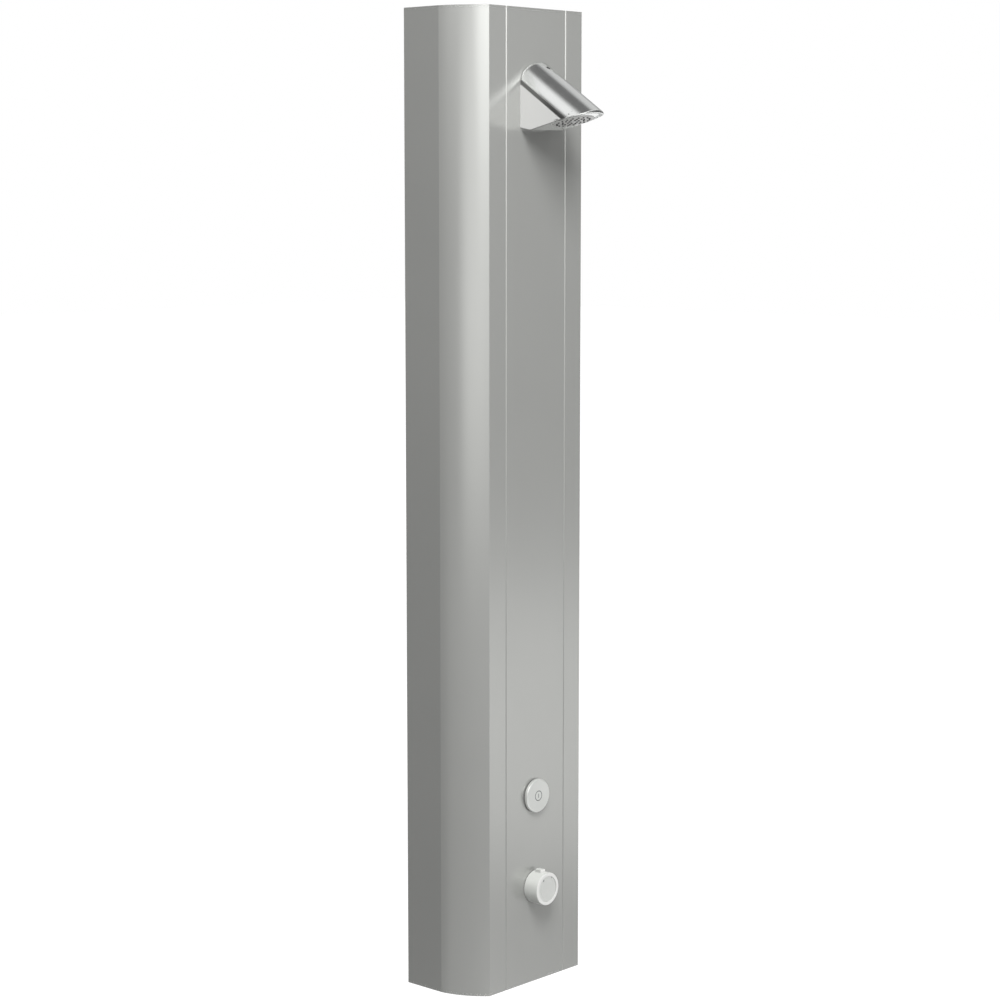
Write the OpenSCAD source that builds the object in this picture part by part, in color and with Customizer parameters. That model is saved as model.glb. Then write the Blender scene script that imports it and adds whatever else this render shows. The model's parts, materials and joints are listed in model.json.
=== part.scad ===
/* [Housing] */
// Height of the whole panel
panel_h = 1200; // [1000:10:1400]
// Width across the two side faces
panel_w = 224; // [216:1:250]
// Depth from the wall to the front face
panel_d = 112; // [110:1:124]
// Width of the flat front face
front_flat = 167; // [156:1:180]
// Depth of each flat side face
side_flat = 57; // [54:1:62]
// Radius of the curved shoulders
shoulder_r = 93.2; // [90:0.1:110]
// Wall thickness of the extruded shell
shell_wall = 2.5; // [2:0.1:3]
// Thickness of each end cap
cap_t = 3; // [3:0.1:5]
// Distance of each front groove from the middle
groove_x = 53.5; // [53:0.5:58]
// Width of each front groove
groove_w = 2; // [1:0.1:3]
// Depth of each front groove
groove_d = 1; // [0.5:0.1:1.4]
// Width of the rear flanges that lie on the wall
flange_w = 12; // [10:0.5:14]

/* [Wall fixing] */
// Height of the lower bracket's holes above the panel's lower end
low_holes_up = 45; // [42:1:50]
// Distance of the upper bracket's holes below the panel's upper end
high_holes_down = 210; // [180:5:260]
// Distance between the two holes of a bracket
hole_spacing = 120; // [80:1:140]
// Radius of the bracket holes
wall_hole_r = 3.5; // [3:0.1:4.5]
// Sheet thickness of the brackets
bracket_t = 2.5; // [2:0.1:3]
// Height of each bracket's back plate
bracket_h = 40; // [36:1:44]

/* [Shower head] */
// Distance of the head's water inlet below the panel's upper end
head_down = 108; // [90:1:160]
// Radius of the head's rounded back, which is half its width
head_r = 28.7; // [28:0.1:32]
// Slope of the head's upper side below level
head_slope = 33.5; // [32:0.1:35]
// Height of the rounded back's axis above the inlet, at the panel
head_axis_rise = 15.2; // [14:0.1:17]
// Tilt of the spray face above level
spray_tilt = 13.4; // [12:0.1:15]
// Distance of the head's heel from the front face
heel_out = 16; // [14:0.5:18]
// Distance of the heel below the inlet
heel_drop = 36.8; // [36:0.1:39]
// Rise of the lower edge from the heel back to the panel
heel_rise = 2.7; // [2:0.1:4]
// Reach of the nose from the front face
head_reach = 96.7; // [95:0.1:100]
// Radius of the nose seen from above
nose_r = 31; // [30:0.5:34]
// Rounding of the head's upper rear edge
head_round = 7; // [5:0.5:9]
// Distance of the spray plate's centre from the front face
spray_out = 58.5; // [57:0.5:60]
// Radius of the spray plate
spray_r = 25.4; // [24:0.1:26]
// Number of nozzles in the first ring; each further ring adds as many
nozzle_step = 6; // [4:1:6]

/* [Start button] */
// Height of the button above the panel's lower end
button_up = 238; // [232:1:246]
// Radius of the button's cap
button_r = 21; // [20.5:0.1:22]
// Height of the button's face above the front face
button_proud = 6; // [5.5:0.1:7]
// Rounding of the cap's front edge
button_round = 1.8; // [1:0.1:2.2]
// Travel of the button
button_travel = 1.5; // [1:0.1:1.6]

/* [Thermostat knob] */
// Height of the knob above the panel's lower end
knob_up = 122; // [118:1:126]
// Outer radius of the knob
knob_r = 20.5; // [20:0.1:22]
// Height of the knob's rim above the front face
knob_proud = 21.4; // [21:0.1:24]
// Radius of the knob's inlaid face disc
face_r = 16; // [14:0.1:16.5]
// Travel of the safety stop button on the knob
stop_travel = 2.5; // [2:0.1:2.6]

/* [Water way] */
// Outer radius of the copper pipes
pipe_r = 7.5; // [7:0.1:8]
// Wall of the copper pipes
pipe_wall = 0.8; // [0.7:0.1:1]
// Distance of the pipes' axis behind the carrier plate
pipe_back = 33; // [32:0.5:35]
// Radius of the inlet threads
inlet_r = 10.48; // [10:0.01:11]
// Length of the inlet threads behind the wall plane
inlet_len = 14; // [10:1:18]
// Distance of each inlet from the middle
inlet_x = 75; // [73:0.5:82]
// Height of the solenoid valve above the panel's lower end
valve_up = 330; // [326:1:336]

/* [Electronics] */
// Height of the control box's centre above the panel's lower end
box_up = 520; // [516:1:530]
// Height of the control box
box_h = 200; // [190:1:204]
// Width of the control box
box_w = 72; // [70:1:76]
// Depth of the control box without its lid
box_d = 17; // [16.6:0.1:18]

/* [Hidden] */
$fn = 72;

// Overrun of every cut, loose clearance and running clearance
cut = 1;
loose = 0.3;
close = 0.1;
run = 0.05;
sink = 0.5;

// Heights: the origin is the middle of the four wall holes
low_z = -(low_holes_up + panel_h - high_holes_down) / 2;
high_z = low_z + panel_h;
knob_z = low_z + knob_up;
button_z = low_z + button_up;
valve_z = low_z + valve_up;
box_z = low_z + box_up;
head_z = high_z - head_down;
low_holes_z = low_z + low_holes_up;
high_holes_z = high_z - high_holes_down;

// Depths, all behind the front face at -panel_d
front_y = -panel_d;
skin_y = front_y + shell_wall;

// Shoulder arcs
shoulder_w = (panel_w - front_flat) / 2;
shoulder_d = panel_d - side_flat;
shoulder_chord = sqrt(pow(shoulder_w, 2) + pow(shoulder_d, 2));
shoulder_in = sqrt(pow(shoulder_r, 2) - pow(shoulder_chord / 2, 2));
shoulder_x = panel_w / 2 - shoulder_w / 2 - shoulder_in * shoulder_d / shoulder_chord;
shoulder_y = -side_flat - shoulder_d / 2 + shoulder_in * shoulder_w / shoulder_chord;

// Screw ports and rails inside the shell
screw_r = 2.05;
screw_head_r = 4.1;
screw_head_h = 2.3;
screw_len = 16;
socket_flat = 3;
socket_in = 1.4;
port_bore = screw_r + run;
port_r = 4;
port_slot = 2;
port_gap = 1.5;
port_y = skin_y + port_r - sink;
side_port_x = panel_w / 2 - shell_wall - port_r + sink;
side_port_y = -side_flat + port_r + port_r + cut;
rail_t = 2;
rail_lip = 6;
rail_clear = 4;
rail_x = box_w / 2 + rail_lip + rail_clear;
port_x = rail_x + rail_t + port_gap + port_r;

// Carrier plate, which slides behind the rails
plate_t = 2.5;
plate_gap = 4;
plate_y = skin_y + plate_gap;
plate_back = plate_y + plate_t;
plate_half = rail_x - loose;
plate_top = box_z + box_h / 2 + plate_gap;
rail_d = plate_gap + plate_t + loose + rail_t;
foot_t = 5;
fix_r = 2.45;
fix_head_r = 4.5;
fix_head_h = 3;

// Water way
pipe_y = plate_back + pipe_back;
socket_r = pipe_r + close;
socket_d = 12;
boss_wall = 4.5;
boss_r = pipe_r + boss_wall;
way_r = 6.5;
nut_flat = 24;
nut_h = 12;

// Wall brackets and hooks
bracket_half = panel_w / 2 - flange_w - rail_t;
lip_y = -12;
lip_h = 16;
lip_d = 32;
hook_w = 14;
hook_d = 20;
hook_h = 24;
hook_screw_shares = [0.3, 0.7];
lock_x = 70;
lock_y = -20;

// Housing openings
neck_r = 12;
knob_hole_r = neck_r + 3;
sleeve_r = 15;
nipple_r = 10.48;

// Solid between two heights of y, x or z round an axis
module rod_y(y1, y2, r) {
    translate([0, y1, 0]) rotate([-90, 0, 0]) cylinder(h = y2 - y1, r = r);
}
module rod_x(x1, x2, r) {
    translate([x1, 0, 0]) rotate([0, 90, 0]) cylinder(h = x2 - x1, r = r);
}
module rod_z(z1, z2, r) {
    translate([0, 0, z1]) cylinder(h = z2 - z1, r = r);
}
module block(x1, x2, y1, y2, z1, z2) {
    translate([x1, y1, z1]) cube([x2 - x1, y2 - y1, z2 - z1]);
}
// Hexagon of a given size across its flats
module hexagon(flat, h) {
    rotate([0, 0, 30]) cylinder(h = h, r = flat / sqrt(3), $fn = 6);
}
// Both sides of the panel's middle plane
module both_sides() {
    children();
    mirror([1, 0, 0]) children();
}

// Countersunk screw, its head's face at the origin and its shank below
module countersunk(length) {
    difference() {
        union() {
            rod_z(-length, 0, screw_r);
            translate([0, 0, -screw_head_h]) cylinder(h = screw_head_h, r1 = screw_r, r2 = screw_head_r);
        }
        translate([0, 0, -socket_in]) hexagon(socket_flat, screw_head_h);
    }
}
module countersink(depth) {
    rod_z(-depth, cut, screw_r + close);
    translate([0, 0, -screw_head_h])
        cylinder(h = screw_head_h, r1 = screw_r + close, r2 = screw_head_r + close);
    rod_z(0, cut, screw_head_r + close);
}

// Plan of the shell: its outer line with no inset, its inner line with the wall as inset
module plan_shape(inset, back) {
    half = panel_w / 2 - inset;
    difference() {
        translate([-half, front_y + inset]) square([2 * half, panel_d - inset + back]);
        for (side = [-1, 1]) difference() {
            translate([side * (half + cut + shoulder_x) / 2, (front_y + shoulder_y - cut) / 2])
                square([half + cut - shoulder_x, shoulder_y - front_y + cut], center = true);
            translate([side * shoulder_x, shoulder_y]) circle(r = shoulder_r - inset, $fn = 360);
        }
    }
}
module grooves() {
    for (side = [-1, 1]) translate([side * groove_x, front_y])
        polygon([[-groove_w / 2, 0], [0, groove_d], [groove_w / 2, 0], [0, -groove_d]]);
}
module outer_plan() {
    difference() {
        plan_shape(0, 0);
        grooves();
    }
}
// Places of the four cap screws
module at_ports() {
    for (side = [-1, 1]) {
        translate([side * port_x, port_y, 0]) children();
        translate([side * side_port_x, side_port_y, 0]) children();
    }
}
module rail() {
    translate([rail_x, skin_y - sink]) square([rail_t, rail_d + sink]);
    translate([rail_x - rail_lip, skin_y + rail_d - rail_t]) square([rail_lip + rail_t, rail_t]);
}
module housing_plan() {
    difference() {
        union() {
            difference() {
                outer_plan();
                plan_shape(shell_wall, cut);
            }
            for (side = [-1, 1]) {
                translate([side * (panel_w - flange_w) / 2, -shell_wall / 2])
                    square([flange_w, shell_wall], center = true);
            }
            at_ports() circle(r = port_r);
            both_sides() rail();
        }
        at_ports() circle(r = port_bore);
        for (side = [-1, 1]) {
            translate([side * port_x - port_slot / 2, port_y]) square([port_slot, port_r + cut]);
            translate([side * (side_port_x - port_r / 2 - cut / 2), side_port_y])
                square([port_r + cut, port_slot], center = true);
        }
        grooves();
    }
}
module at_hook_screws() {
    for (side = [-1, 1], share = hook_screw_shares)
        translate([side * hook_screw_x, 0, hook_z + share * hook_h]) rotate([-90, 0, 0]) children();
}
module housing_profile() {
    color("#bfc2bc") difference() {
        translate([0, 0, low_z + cap_t]) linear_extrude(panel_h - 2 * cap_t) housing_plan();
        translate([0, 0, knob_z]) rod_y(front_y - cut, skin_y + cut, knob_hole_r);
        translate([0, 0, button_z]) rod_y(front_y - cut, skin_y + cut, sleeve_r + close);
        translate([0, 0, head_z]) rod_y(front_y - cut, skin_y + cut, nipple_r + loose);
        at_hook_screws() countersink(shell_wall + cut);
    }
}
module end_cap() {
    difference() {
        linear_extrude(cap_t) outer_plan();
        translate([0, 0, cap_t]) at_ports() countersink(cap_t + cut);
    }
}
module top_cap() {
    color("#b9bcb6") translate([0, 0, high_z - cap_t]) end_cap();
}
module bottom_cap() {
    color("#b9bcb6") difference() {
        translate([0, 0, low_z + cap_t]) mirror([0, 0, 1]) end_cap();
        translate([0, 0, low_z]) mirror([0, 0, 1]) at_lock_screws() countersink(cap_t + cut);
    }
}
module case_screws() {
    color("#8f938f") {
        translate([0, 0, high_z]) at_ports() countersunk(screw_len);
        translate([0, 0, low_z]) mirror([0, 0, 1]) at_ports() countersunk(screw_len);
        at_hook_screws() countersunk(screw_len);
    }
}
// Places of the screws that hold the inner parts to the carrier plate
fix_corner = 31;
foot_x = 24;
foot_end = 7;
foot_half = 11;
box_fix_in = 10;
box_fix = box_h / 2 - box_fix_in;
module at_fixings() {
    for (sx = [-1, 1], sz = [-1, 1])
        translate([sx * fix_corner, plate_back, knob_z + sz * fix_corner]) children();
    for (sx = [-1, 1]) translate([sx * foot_x, plate_back, valve_z]) children();
    for (sz = [-1, 1]) translate([0, plate_back, box_z + sz * box_fix]) children();
}
module carrier_plate() {
    color("#9aa0a0") difference() {
        block(-plate_half, plate_half, plate_y, plate_back, low_z + cap_t, plate_top);
        translate([0, 0, knob_z]) rod_y(plate_y - cut, plate_back + cut, neck_r + close);
        translate([0, 0, button_z]) rod_y(plate_y - cut, plate_back + cut, button_nut_flat / sqrt(3) + cut);
        at_fixings() rod_y(-plate_t - cut, cut, fix_r + run);
    }
}
module fixing_screws() {
    color("#c9cbc8") at_fixings() difference() {
        union() {
            rod_y(-plate_t, foot_t + sink, fix_r);
            rod_y(foot_t, foot_t + fix_head_h, fix_head_r);
        }
        translate([0, foot_t + fix_head_h - socket_in, 0]) rotate([-90, 0, 0])
            hexagon(fix_head_r, fix_head_h);
    }
}
hook_z = high_holes_z + bracket_h / 2 + lip_h - hook_h / 2 + bracket_t / 2;
hook_screw_x = panel_w / 2 - flange_w / 2 - shell_wall / 2;
module bracket_plate(z) {
    difference() {
        block(-bracket_half, bracket_half, -bracket_t, 0, z - bracket_h / 2, z + bracket_h / 2);
        for (side = [-1, 1]) translate([side * hole_spacing / 2, 0, z])
            rod_y(-bracket_t - cut, cut, wall_hole_r);
    }
}
module upper_wall_bracket() {
    top = high_holes_z + bracket_h / 2;
    color("#a7abab") {
        difference() {
            union() {
                bracket_plate(high_holes_z);
                block(-bracket_half, bracket_half, lip_y, -bracket_t / 2, top - bracket_t, top);
                block(-bracket_half, bracket_half, lip_y, lip_y + bracket_t, top - bracket_t, top + lip_h);
            }
            block(-hole_spacing / 2, hole_spacing / 2, lip_y - cut, lip_y + bracket_t + cut,
                top + lip_h / 3, top + lip_h + cut);
        }
    }
}
module at_lock_screws() {
    for (side = [-1, 1]) translate([side * lock_x, lock_y, 0]) children();
}
module lower_wall_bracket() {
    bottom = low_holes_z - bracket_h / 2;
    color("#a7abab") difference() {
        union() {
            bracket_plate(low_holes_z);
            block(-bracket_half, bracket_half, -lip_d, -bracket_t / 2, bottom, bottom + bracket_t);
        }
        at_lock_screws() rod_z(bottom - cut, bottom + bracket_t + cut, screw_r + run);
    }
}
module hanger_hooks() {
    outer = panel_w / 2 - shell_wall;
    inner = bracket_half - hook_w;
    color("#8d9293") both_sides() difference() {
        block(inner, outer, -shell_wall - hook_d, -shell_wall, hook_z, hook_z + hook_h);
        block(inner - cut, bracket_half + loose, lip_y - loose, lip_y + bracket_t + loose,
            hook_z - cut, high_holes_z + bracket_h / 2 + lip_h + loose);
        for (share = hook_screw_shares) translate([hook_screw_x, 0, hook_z + share * hook_h])
            rod_y(-shell_wall - screw_len, cut, port_bore);
    }
}
module locking_screws() {
    long = low_holes_up - bracket_h / 2 + 2 * bracket_t + cut;
    color("#8f938f") translate([0, 0, low_z]) mirror([0, 0, 1]) at_lock_screws() countersunk(long);
}

// Shower head, drawn from the front face outwards and measured from its inlet
tube_z = head_z + head_axis_rise;
crest_z = tube_z + head_r / cos(head_slope);
heel_z = head_z - heel_drop;
function face_z(out) = heel_z + (out - heel_out) * tan(spray_tilt);
plate_th = 3;
plate_proud = 0.8;
mat_t = 1.5;
chamber_h = 9;
chamber_r = 20;
post_r = 4.5;
spray_screw_r = 1.95;
head_socket_d = 20;
nipple_bore = 8;
elbow_gap = 17;
nozzle_r = 1.15;
nozzle_bore = 0.45;
ring_gap = 6.6;
nozzle_rings = 3;
regulator_hole_r = 1.6;
regulator_ring_share = 0.7;
regulator_small_r = 1.1;
grub_out = 19;
grub_r = 2.4;
grub_tilt = 15;
grub_sink = 1.2;
grub_z = crest_z - grub_out * tan(head_slope);
grub_end = (grub_z - head_z - nipple_r - close - grub_r * sin(grub_tilt)) / cos(grub_tilt);

// Prism across the panel from a side outline of (distance out, height)
module side_prism(width) {
    translate([0, front_y, 0]) rotate([90, 0, -90]) translate([0, 0, -width / 2])
        linear_extrude(width) children();
}
module spray_frame() {
    translate([0, front_y - spray_out, face_z(spray_out)]) rotate([-spray_tilt, 0, 0]) children();
}
module head_side() {
    reach = head_reach + cut;
    round_z = crest_z - head_round * tan(head_slope) - head_round / cos(head_slope);
    round_x = head_round * (1 + sin(head_slope));
    difference() {
        polygon([[0, heel_z + heel_rise], [heel_out, heel_z], [reach, face_z(reach)],
            [reach, crest_z], [0, crest_z]]);
        difference() {
            polygon([[-cut, round_z], [head_round, round_z],
                [round_x, round_z + head_round * cos(head_slope)],
                [round_x, crest_z + cut], [-cut, crest_z + cut]]);
            translate([head_round, round_z]) circle(r = head_round);
        }
    }
}
module head_shape() {
    length = (head_reach + head_r) / cos(head_slope);
    intersection() {
        side_prism(2 * head_r + cut) head_side();
        translate([0, front_y, tube_z]) rotate([90 + head_slope, 0, 0]) translate([0, 0, -head_r])
            linear_extrude(length + head_r) {
                circle(r = head_r, $fn = 180);
                translate([-head_r, -2 * head_r]) square([2 * head_r, 2 * head_r]);
            }
        translate([0, front_y, heel_z - head_r]) linear_extrude(4 * head_r) {
            translate([0, nose_r - head_reach]) circle(r = nose_r, $fn = 180);
            translate([-nose_r, nose_r - head_reach]) square([2 * nose_r, head_reach - nose_r]);
        }
    }
}
// Round bore in the middle plane between two points of (y, z)
module slanted_bore(from, to, r) {
    run_y = to[0] - from[0];
    run_z = to[1] - from[1];
    translate([0, from[0], from[1]]) rotate([atan2(-run_y, run_z), 0, 0])
        cylinder(h = sqrt(pow(run_y, 2) + pow(run_z, 2)), r = r);
}
module at_grub() {
    translate([0, front_y - grub_out, grub_z]) rotate([grub_tilt, 0, 0]) children();
}
module head_body() {
    inner_z = plate_th + mat_t;
    color("#c4c7c6") difference() {
        head_shape();
        translate([0, 0, head_z]) rod_y(front_y - head_socket_d, front_y + cut, nipple_r + close);
        slanted_bore([front_y - head_socket_d + way_r, head_z],
            [front_y - spray_out + chamber_r / 2, face_z(spray_out) + chamber_h], way_r / 2 + cut);
        spray_frame() {
            rod_z(-cut, inner_z, spray_r + close);
            difference() {
                rod_z(inner_z - cut, inner_z + chamber_h, chamber_r);
                rod_z(plate_th, inner_z + chamber_h + cut, post_r);
            }
            rod_z(0, inner_z + chamber_h + cut, spray_screw_r + run);
        }
        at_grub() rod_z(-grub_end - grub_r, grub_r + cut, grub_r + run);
    }
}
// Places of the nozzles in rings round the middle
module at_nozzles() {
    for (ring = [1 : nozzle_rings], k = [0 : ring * nozzle_step - 1])
        rotate([0, 0, k * 360 / (ring * nozzle_step)]) translate([ring * ring_gap, 0, 0]) children();
}
module spray_plate() {
    bevel = plate_proud / 2;
    color("#d0d1cd") spray_frame() difference() {
        union() {
            rod_z(bevel - plate_proud, plate_th, spray_r);
            translate([0, 0, -plate_proud]) cylinder(h = bevel, r1 = spray_r - bevel, r2 = spray_r);
        }
        at_nozzles() rod_z(-plate_proud - cut, plate_th + cut, nozzle_r + run);
        rod_z(-plate_proud - cut, plate_th + cut, spray_screw_r + close);
        translate([0, 0, -plate_proud])
            cylinder(h = screw_head_h, r1 = screw_head_r + close, r2 = spray_screw_r + close);
    }
}
module spray_nozzles() {
    color("#4c4f52") spray_frame() difference() {
        union() {
            rod_z(plate_th, plate_th + mat_t, chamber_r + cut);
            at_nozzles() rod_z(-2 * plate_proud, plate_th + mat_t / 2, nozzle_r);
        }
        at_nozzles() rod_z(-2 * plate_proud - cut, plate_th + mat_t + cut, nozzle_bore);
        rod_z(plate_th - cut, plate_th + mat_t + cut, post_r + close);
    }
}
module spray_screw() {
    color("#9b9e9d") spray_frame() translate([0, 0, -plate_proud]) mirror([0, 0, 1]) difference() {
        union() {
            rod_z(-plate_th - plate_proud - mat_t - chamber_h / 2, 0, spray_screw_r);
            translate([0, 0, -screw_head_h])
                cylinder(h = screw_head_h, r1 = spray_screw_r, r2 = screw_head_r);
        }
        translate([0, 0, -screw_head_h / 2]) hexagon(screw_head_r / 2, screw_head_h);
    }
}
module head_nipple() {
    back = pipe_y - elbow_gap / 2;
    color("#c8a24a") translate([0, 0, head_z]) difference() {
        rod_y(front_y - head_socket_d + close, back, nipple_r);
        rod_y(front_y - head_socket_d - cut, back + cut, way_r);
        rod_y(front_y - head_socket_d - cut, front_y - shell_wall, nipple_bore);
    }
}
module flow_regulator() {
    color("#5a7f62") translate([0, 0, head_z]) difference() {
        rod_y(front_y - head_socket_d + 2 * close, front_y - shell_wall - loose, nipple_bore - run);
        rod_y(front_y - head_socket_d - cut, front_y, regulator_hole_r);
        for (turn = [0 : 60 : 300]) rotate([0, turn, 0]) translate([way_r * regulator_ring_share, 0, 0])
            rod_y(front_y - head_socket_d - cut, front_y, regulator_small_r);
    }
}
module head_grub_screw() {
    color("#3c3e40") at_grub() difference() {
        rod_z(-grub_end, -grub_sink, grub_r);
        translate([0, 0, -grub_sink - grub_r]) hexagon(grub_r, grub_r + cut);
    }
}
head_nut_flat = 27;
head_nut_h = 6;
module head_nut() {
    color("#c8a24a") translate([0, skin_y, head_z]) rotate([-90, 0, 0]) difference() {
        hexagon(head_nut_flat, head_nut_h);
        rod_z(-cut, head_nut_h + cut, nipple_r + close);
    }
}
// Elbow between the riser and the head's nipple
elbow_r = 14;
elbow_drop = 36;
elbow_mouth_r = 13.5;
elbow_mouth = 8;
module head_elbow() {
    color("#c8a24a") translate([0, pipe_y, head_z]) difference() {
        union() {
            sphere(r = elbow_r);
            rod_y(-elbow_r - elbow_mouth, 0, elbow_mouth_r);
            rod_z(-elbow_drop, 0, boss_r);
        }
        rod_y(-elbow_r - nut_h, -elbow_gap / 2 + loose, nipple_r + close);
        rod_y(-elbow_r, 0, way_r);
        rod_z(-elbow_drop - cut, 0, way_r);
        rod_z(-elbow_drop - cut, -elbow_drop + socket_d, socket_r);
    }
}
// Copper pipes between their sockets
module pipe(z1, z2) {
    difference() {
        rod_z(z1, z2, pipe_r);
        rod_z(z1 - cut, z2 + cut, pipe_r - pipe_wall);
    }
}
valve_half = 18;
valve_boss = 32;
outlet_rise = 44;
riser_low = valve_z + valve_boss - socket_d + close;
riser_high = head_z - elbow_drop + socket_d - close;
supply_low = knob_z + outlet_rise - socket_d + close;
supply_high = valve_z - valve_boss + socket_d - close;
module riser_pipe() {
    color("#c07a52") translate([0, pipe_y, 0]) pipe(riser_low, riser_high);
}
module supply_pipe() {
    color("#c07a52") translate([0, pipe_y, 0]) pipe(supply_low, supply_high);
}
module pipe_nuts() {
    color("#c8a24a") translate([0, pipe_y, 0])
        for (z = [knob_z + outlet_rise, valve_z - valve_boss - nut_h,
                valve_z + valve_boss, head_z - elbow_drop - nut_h])
            translate([0, 0, z]) difference() {
                hexagon(nut_flat, nut_h);
                rod_z(-cut, nut_h + cut, socket_r);
            }
}

// Solenoid valve in the water way: its inlet below, its outlet above, its coil to the right
seat_x = 8;
chamber_valve_r = 14;
valve_way_r = 5;
valve_port_drop = 11;
valve_left = 20;
pilot_r = 0.45;
disc_t = 1.5;
plunger_r = 4.5;
plunger_travel = 2;
spring_shut = 8;
tube_end = 48;
plunger_end = tube_end - spring_shut - plunger_travel;
tube_wall = 0.9;
tube_cap = 2;
bonnet_t = 3;
coil_gap = 1;
coil_r = 14;
coil_len = 24;
plug_w = 12;
plug_h = 7;
module solenoid_body() {
    color("#2f3234") translate([0, 0, valve_z]) difference() {
        union() {
            translate([0, pipe_y, 0]) {
                block(-valve_left, valve_half, -valve_half, valve_half, -valve_half, valve_half);
                rod_z(-valve_boss, valve_boss, boss_r);
            }
            block(-foot_x / 2, foot_x / 2, plate_back + sink, pipe_y, -foot_x / 2, foot_x / 2);
            block(-foot_x - foot_end, foot_x + foot_end, plate_back, plate_back + foot_t,
                -foot_half, foot_half);
        }
        for (side = [-1, 1]) translate([side * foot_x, plate_back, 0])
            rod_y(-cut, foot_t + cut, fix_r + close);
        translate([0, pipe_y, 0]) {
            for (side = [0, 1]) mirror([0, 0, side])
                rod_z(valve_boss - socket_d, valve_boss + cut, socket_r);
            rod_z(0, valve_boss, valve_way_r);
            rod_z(-valve_boss, -valve_port_drop, valve_way_r);
            rod_x(-valve_way_r / 2, seat_x + cut, valve_way_r);
            rod_x(seat_x, valve_half + cut, chamber_valve_r);
            translate([0, 0, -valve_port_drop]) rod_x(0, seat_x + cut, valve_way_r / 2);
        }
    }
}
module valve_diaphragm() {
    color("#1d1f20") translate([0, pipe_y, valve_z]) difference() {
        rod_x(seat_x + close, seat_x + close + disc_t, chamber_valve_r - sink);
        translate([0, chamber_valve_r / 2, 0]) rod_x(seat_x, seat_x + disc_t + cut, pilot_r);
    }
}
module solenoid_bonnet() {
    color("#b8babb") translate([0, pipe_y, valve_z]) difference() {
        union() {
            block(valve_half, valve_half + bonnet_t, -valve_half, valve_half, -valve_half, valve_half);
            rod_x(valve_half + sink, tube_end + tube_cap, plunger_r + run + tube_wall);
        }
        rod_x(valve_half - cut, tube_end, plunger_r + run);
    }
}
module solenoid_coil() {
    start = valve_half + bonnet_t + coil_gap / 2;
    color("#23262a") translate([0, pipe_y, valve_z]) difference() {
        union() {
            rod_x(start, start + coil_len, coil_r);
            block(start + coil_len / 4, start + coil_len / 4 + plug_w, -plug_w / 2, plug_w / 2,
                coil_r / 2, coil_r + plug_h);
        }
        rod_x(start - cut, start + coil_len + cut, plunger_r + run + tube_wall + close);
    }
}
module solenoid_plunger() {
    color("#8e9294") translate([0, pipe_y, valve_z])
        rod_x(seat_x + disc_t + 2 * close, plunger_end, plunger_r);
}

// Unbroken coil of round wire along +Z
wire_sides = 6;
wire_steps = 10;
module wire_coil(length, r, wire, turns) {
    last = turns * wire_steps;
    climb = length - 2 * wire;
    centre = [for (k = [0 : last])
        let (a = k * 360 / wire_steps) [r * cos(a), r * sin(a), wire + climb * k / last]];
    rings = [for (k = [0 : last], s = [0 : wire_sides - 1])
        let (around = k * 360 / wire_steps, turn = s * 360 / wire_sides)
            centre[k] + wire * [cos(turn) * cos(around), cos(turn) * sin(around), sin(turn)]];
    sides = [for (k = [0 : last - 1], s = [0 : wire_sides - 1])
        let (a = k * wire_sides + s, b = k * wire_sides + (s + 1) % wire_sides)
            [a, b, b + wire_sides, a + wire_sides]];
    ends = [[for (s = [wire_sides - 1 : -1 : 0]) s], [for (s = [0 : wire_sides - 1]) last * wire_sides + s]];
    polyhedron(points = rings, faces = concat(sides, ends));
}
plunger_wire = 0.5;
plunger_turns = 6;
module plunger_spring() {
    color("#d0d2d3") translate([plunger_end + run, pipe_y, valve_z]) rotate([0, 90, 0])
        wire_coil(tube_end - plunger_end - 2 * run, plunger_r - 2 * plunger_wire,
            plunger_wire, plunger_turns);
}

// Thermostatic mixer on the back of the carrier plate
barrel_r = 25;
barrel_len = 54;
barrel_end = 6;
mixer_half = 38;
mixer_round = 50;
cross_back = 43;
cross_y = plate_back + cross_back;
cross_r = 13;
cross_half = 46;
cross_bore = 7.2;
cartridge_r = 19;
sleeve_bore = 12;
bonnet_r = 23.5;
bore_end = plate_back + foot_t + barrel_len - barrel_end;
module mixer_body() {
    color("#c8a24a") translate([0, 0, knob_z]) difference() {
        union() {
            rod_y(plate_back + foot_t - sink, plate_back + foot_t + barrel_len, barrel_r);
            intersection() {
                block(-mixer_half, mixer_half, plate_back, plate_back + foot_t, -mixer_half, mixer_half);
                rod_y(plate_back - cut, plate_back + foot_t + cut, mixer_round);
            }
            translate([0, cross_y, 0]) rod_x(-cross_half, cross_half, cross_r);
            translate([0, pipe_y, 0]) rod_z(0, outlet_rise, boss_r);
        }
        rod_y(plate_back - cut, plate_back + foot_t, bonnet_r + close);
        rod_y(plate_back, bore_end, cartridge_r);
        translate([0, cross_y, 0]) rod_x(-cross_half - cut, cross_half + cut, cross_bore);
        translate([0, pipe_y, 0]) {
            rod_z(0, outlet_rise + cut, way_r);
            rod_z(outlet_rise - socket_d, outlet_rise + cut, socket_r);
        }
        for (sx = [-1, 1], sz = [-1, 1]) translate([sx * fix_corner, 0, sz * fix_corner])
            rod_y(plate_back - cut, plate_back + foot_t + cut, fix_r + close);
    }
}
neck_out = 6;
neck_front = front_y - neck_out;
neck_back = plate_back + foot_t - cut;
spindle_r = 5;
module thermostat_cartridge() {
    color("#d9dadb") translate([0, 0, knob_z]) difference() {
        union() {
            rod_y(plate_back + foot_t - sink, bore_end - close, cartridge_r - close);
            rod_y(plate_back + close, plate_back + foot_t, bonnet_r);
            rod_y(neck_front, plate_back + foot_t, neck_r);
        }
        rod_y(neck_front - cut, neck_back + cut, spindle_r + run);
        rod_y(neck_back, bore_end, sleeve_bore);
        translate([0, cross_y, 0]) rod_x(-cartridge_r, cartridge_r, way_r - cut);
        translate([0, pipe_y - way_r, 0]) rod_z(0, cartridge_r, way_r - cut);
    }
}
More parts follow.
